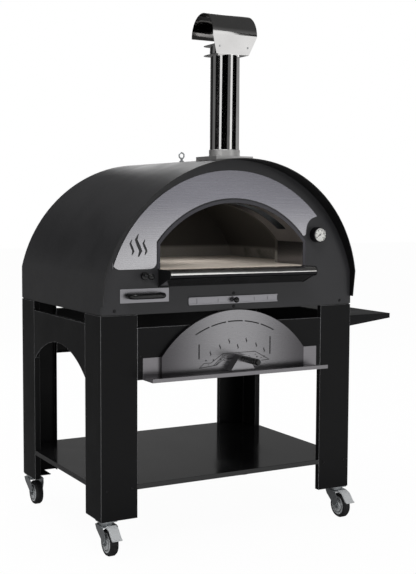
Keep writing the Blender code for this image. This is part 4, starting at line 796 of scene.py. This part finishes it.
for mark in range(MARK_STEPS + 1):
    turn = math.radians(-SWEEP / 2 + SWEEP * mark / MARK_STEPS)
    long_mark = mark % 5 == 0
    inner = 0.0150 if long_mark else 0.0190
    half_width = 0.0012 if long_mark else 0.0006
    away = Vector((math.sin(turn), 0, math.cos(turn)))
    across = Vector((math.cos(turn), 0, -math.sin(turn))) * half_width
    centre = Vector((dial_x, DIAL_BOX[0][1], dial_z))
    lift = Vector((0, -MARK_PROUD, 0))
    base = [centre + away * inner - across, centre + away * inner + across,
            centre + away * MARK_OUTER + across, centre + away * MARK_OUTER - across]
    low = [marks.verts.new(corner) for corner in base]
    high = [marks.verts.new(corner + lift) for corner in base]
    marks.faces.new(high)
    for step in range(4):
        marks.faces.new((low[step], low[(step + 1) % 4], high[(step + 1) % 4], high[step]))
    marks.faces.new(low[::-1])
add_piece("thermometer_marks", marks, SCREW_BLACK, "oven_stand")

# ---- lifting eye ----------------------------------------------------------------------------
# A forged and zinc-plated eye, screwed into the crown of the roof.
dress("lifting_eye", ZINC, 0.0)

# ---- chimney --------------------------------------------------------------------------------
# A welded saddle with a collar, a bright flue pipe, and a cowl rolled from one mirror sheet.
dress("chimney_saddle", buffed_stainless("buffed_304_stainless_saddle", "c4c3c2", "dcdbda", 0.40), 0.0004)
dress("chimney_pipe", MIRROR, 0.0)
COWL_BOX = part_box("chimney_cowl")
COWL_STEEL = buffed_stainless("buffed_304_stainless_cowl", "d2d1d0", "ecebea", 0.04)
COWL_ROLL = 0.084
roll_centre = (0.0, (COWL_BOX[0][1] + COWL_BOX[1][1]) / 2, COWL_BOX[1][2] - COWL_ROLL)
# The inside of the cowl is painted darker: painted shade.
paint_shade_inside(COWL_STEEL, (0.0, 1.0, 1.0), roll_centre, "a8a7a6")
dress("chimney_cowl", COWL_STEEL, 0.0).modifiers["fold"].node_group = fold_group(12.0)
# Two screws hold the skirt of the cowl, part of the way down its slope.
COWL_SCREW = (0.0036, 0.0022)
COWL_SCREW_X = 0.0605
COWL_SCREW_DOWN = 0.63
SKIRT_TOP = Vector((0.0, COWL_BOX[0][1], COWL_BOX[1][2] - COWL_ROLL))
SKIRT_DROP = Vector((0.0, 0.018, -0.069))
skirt_out = (0.0, SKIRT_DROP.z / SKIRT_DROP.length, -SKIRT_DROP.y / SKIRT_DROP.length)
heads = bmesh.new()
for sx in (-1, 1):
    add_screw(heads, SKIRT_TOP + SKIRT_DROP * COWL_SCREW_DOWN + Vector((sx * COWL_SCREW_X, 0.0, 0.0)),
              skirt_out, *COWL_SCREW)
add_piece("cowl_screws", heads, ZINC, "oven_stand")

# ---- casters --------------------------------------------------------------------------------
# Zinc-plated swivel housings and forks, grey nylon wheel centres and brake pedals, and rubber
# tyres moulded on.
NYLON = powder_coat("moulded_grey_nylon", "a9acae", "c9cbcc", 0.40, 0.15, 0.5)


def tyre_rubber(name):
    """Moulded thermoplastic rubber: dull near-black, paler where it is scuffed."""
    material, tree, shader, spot = start_finish(name)
    scuff = add_node(tree, "ShaderNodeTexNoise", {},
                     {"Vector": spot, "Scale": 70.0, "Detail": 6.0, "Roughness": 0.7})
    tint = add_node(tree, "ShaderNodeMix", {"data_type": "RGBA"},
                    {0: scuff.outputs[0], 6: linear("0c0c0d"), 7: linear("242426")})
    skin = add_node(tree, "ShaderNodeBump", {},
                    {"Strength": 0.3, "Distance": 0.0004, "Height": scuff.outputs[0]})
    shader.inputs["Roughness"].default_value = 0.62
    tree.links.new(tint.outputs[2], shader.inputs["Base Color"])
    tree.links.new(skin.outputs[0], shader.inputs["Normal"])
    return material


RUBBER = tyre_rubber("moulded_rubber_tyre")
FORK_ZINC = zinc_plate("zinc_plated_steel_caster", 0.36)
ARM_FACE = 0.0213      # from the middle of the wheel to the outer face of a fork arm at the axle
HUB_FACE = 0.0165
AXLE_NUT = (0.0068, 0.0055)
HUB_RING = [(0.0275, 0.0), (0.0275, 0.0006), (0.0300, 0.0006), (0.0300, 0.0)]
for corner in ("front_left", "front_right", "back_left", "back_right"):
    dress("caster_plate_" + corner, FORK_ZINC, 0.0004)
    dress("caster_fork_" + corner, FORK_ZINC, 0.0004)
    dress("caster_wheel_" + corner, NYLON, 0.0)
    dress("caster_tyre_" + corner, RUBBER, 0.0)
    hub_low, hub_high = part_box("caster_wheel_" + corner)
    axle = [(low + high) / 2 for low, high in zip(hub_low, hub_high)]
    nuts = bmesh.new()
    rings = bmesh.new()
    for side in (-1, 1):
        add_screw(nuts, (axle[0] + side * ARM_FACE, axle[1], axle[2]), (side, 0, 0), *AXLE_NUT)
        turned(rings, HUB_RING, (axle[0] + side * HUB_FACE, axle[1], axle[2]), (side, 0, 0), 40)
    add_piece("axle_nuts_" + corner, nuts, FORK_ZINC, "caster_swivel_" + corner)
    add_piece("hub_ring_" + corner, rings, RUBBER, "caster_roll_" + corner)
for corner in ("front_left", "front_right"):
    dress("brake_pedal_" + corner, NYLON, 0.0006)
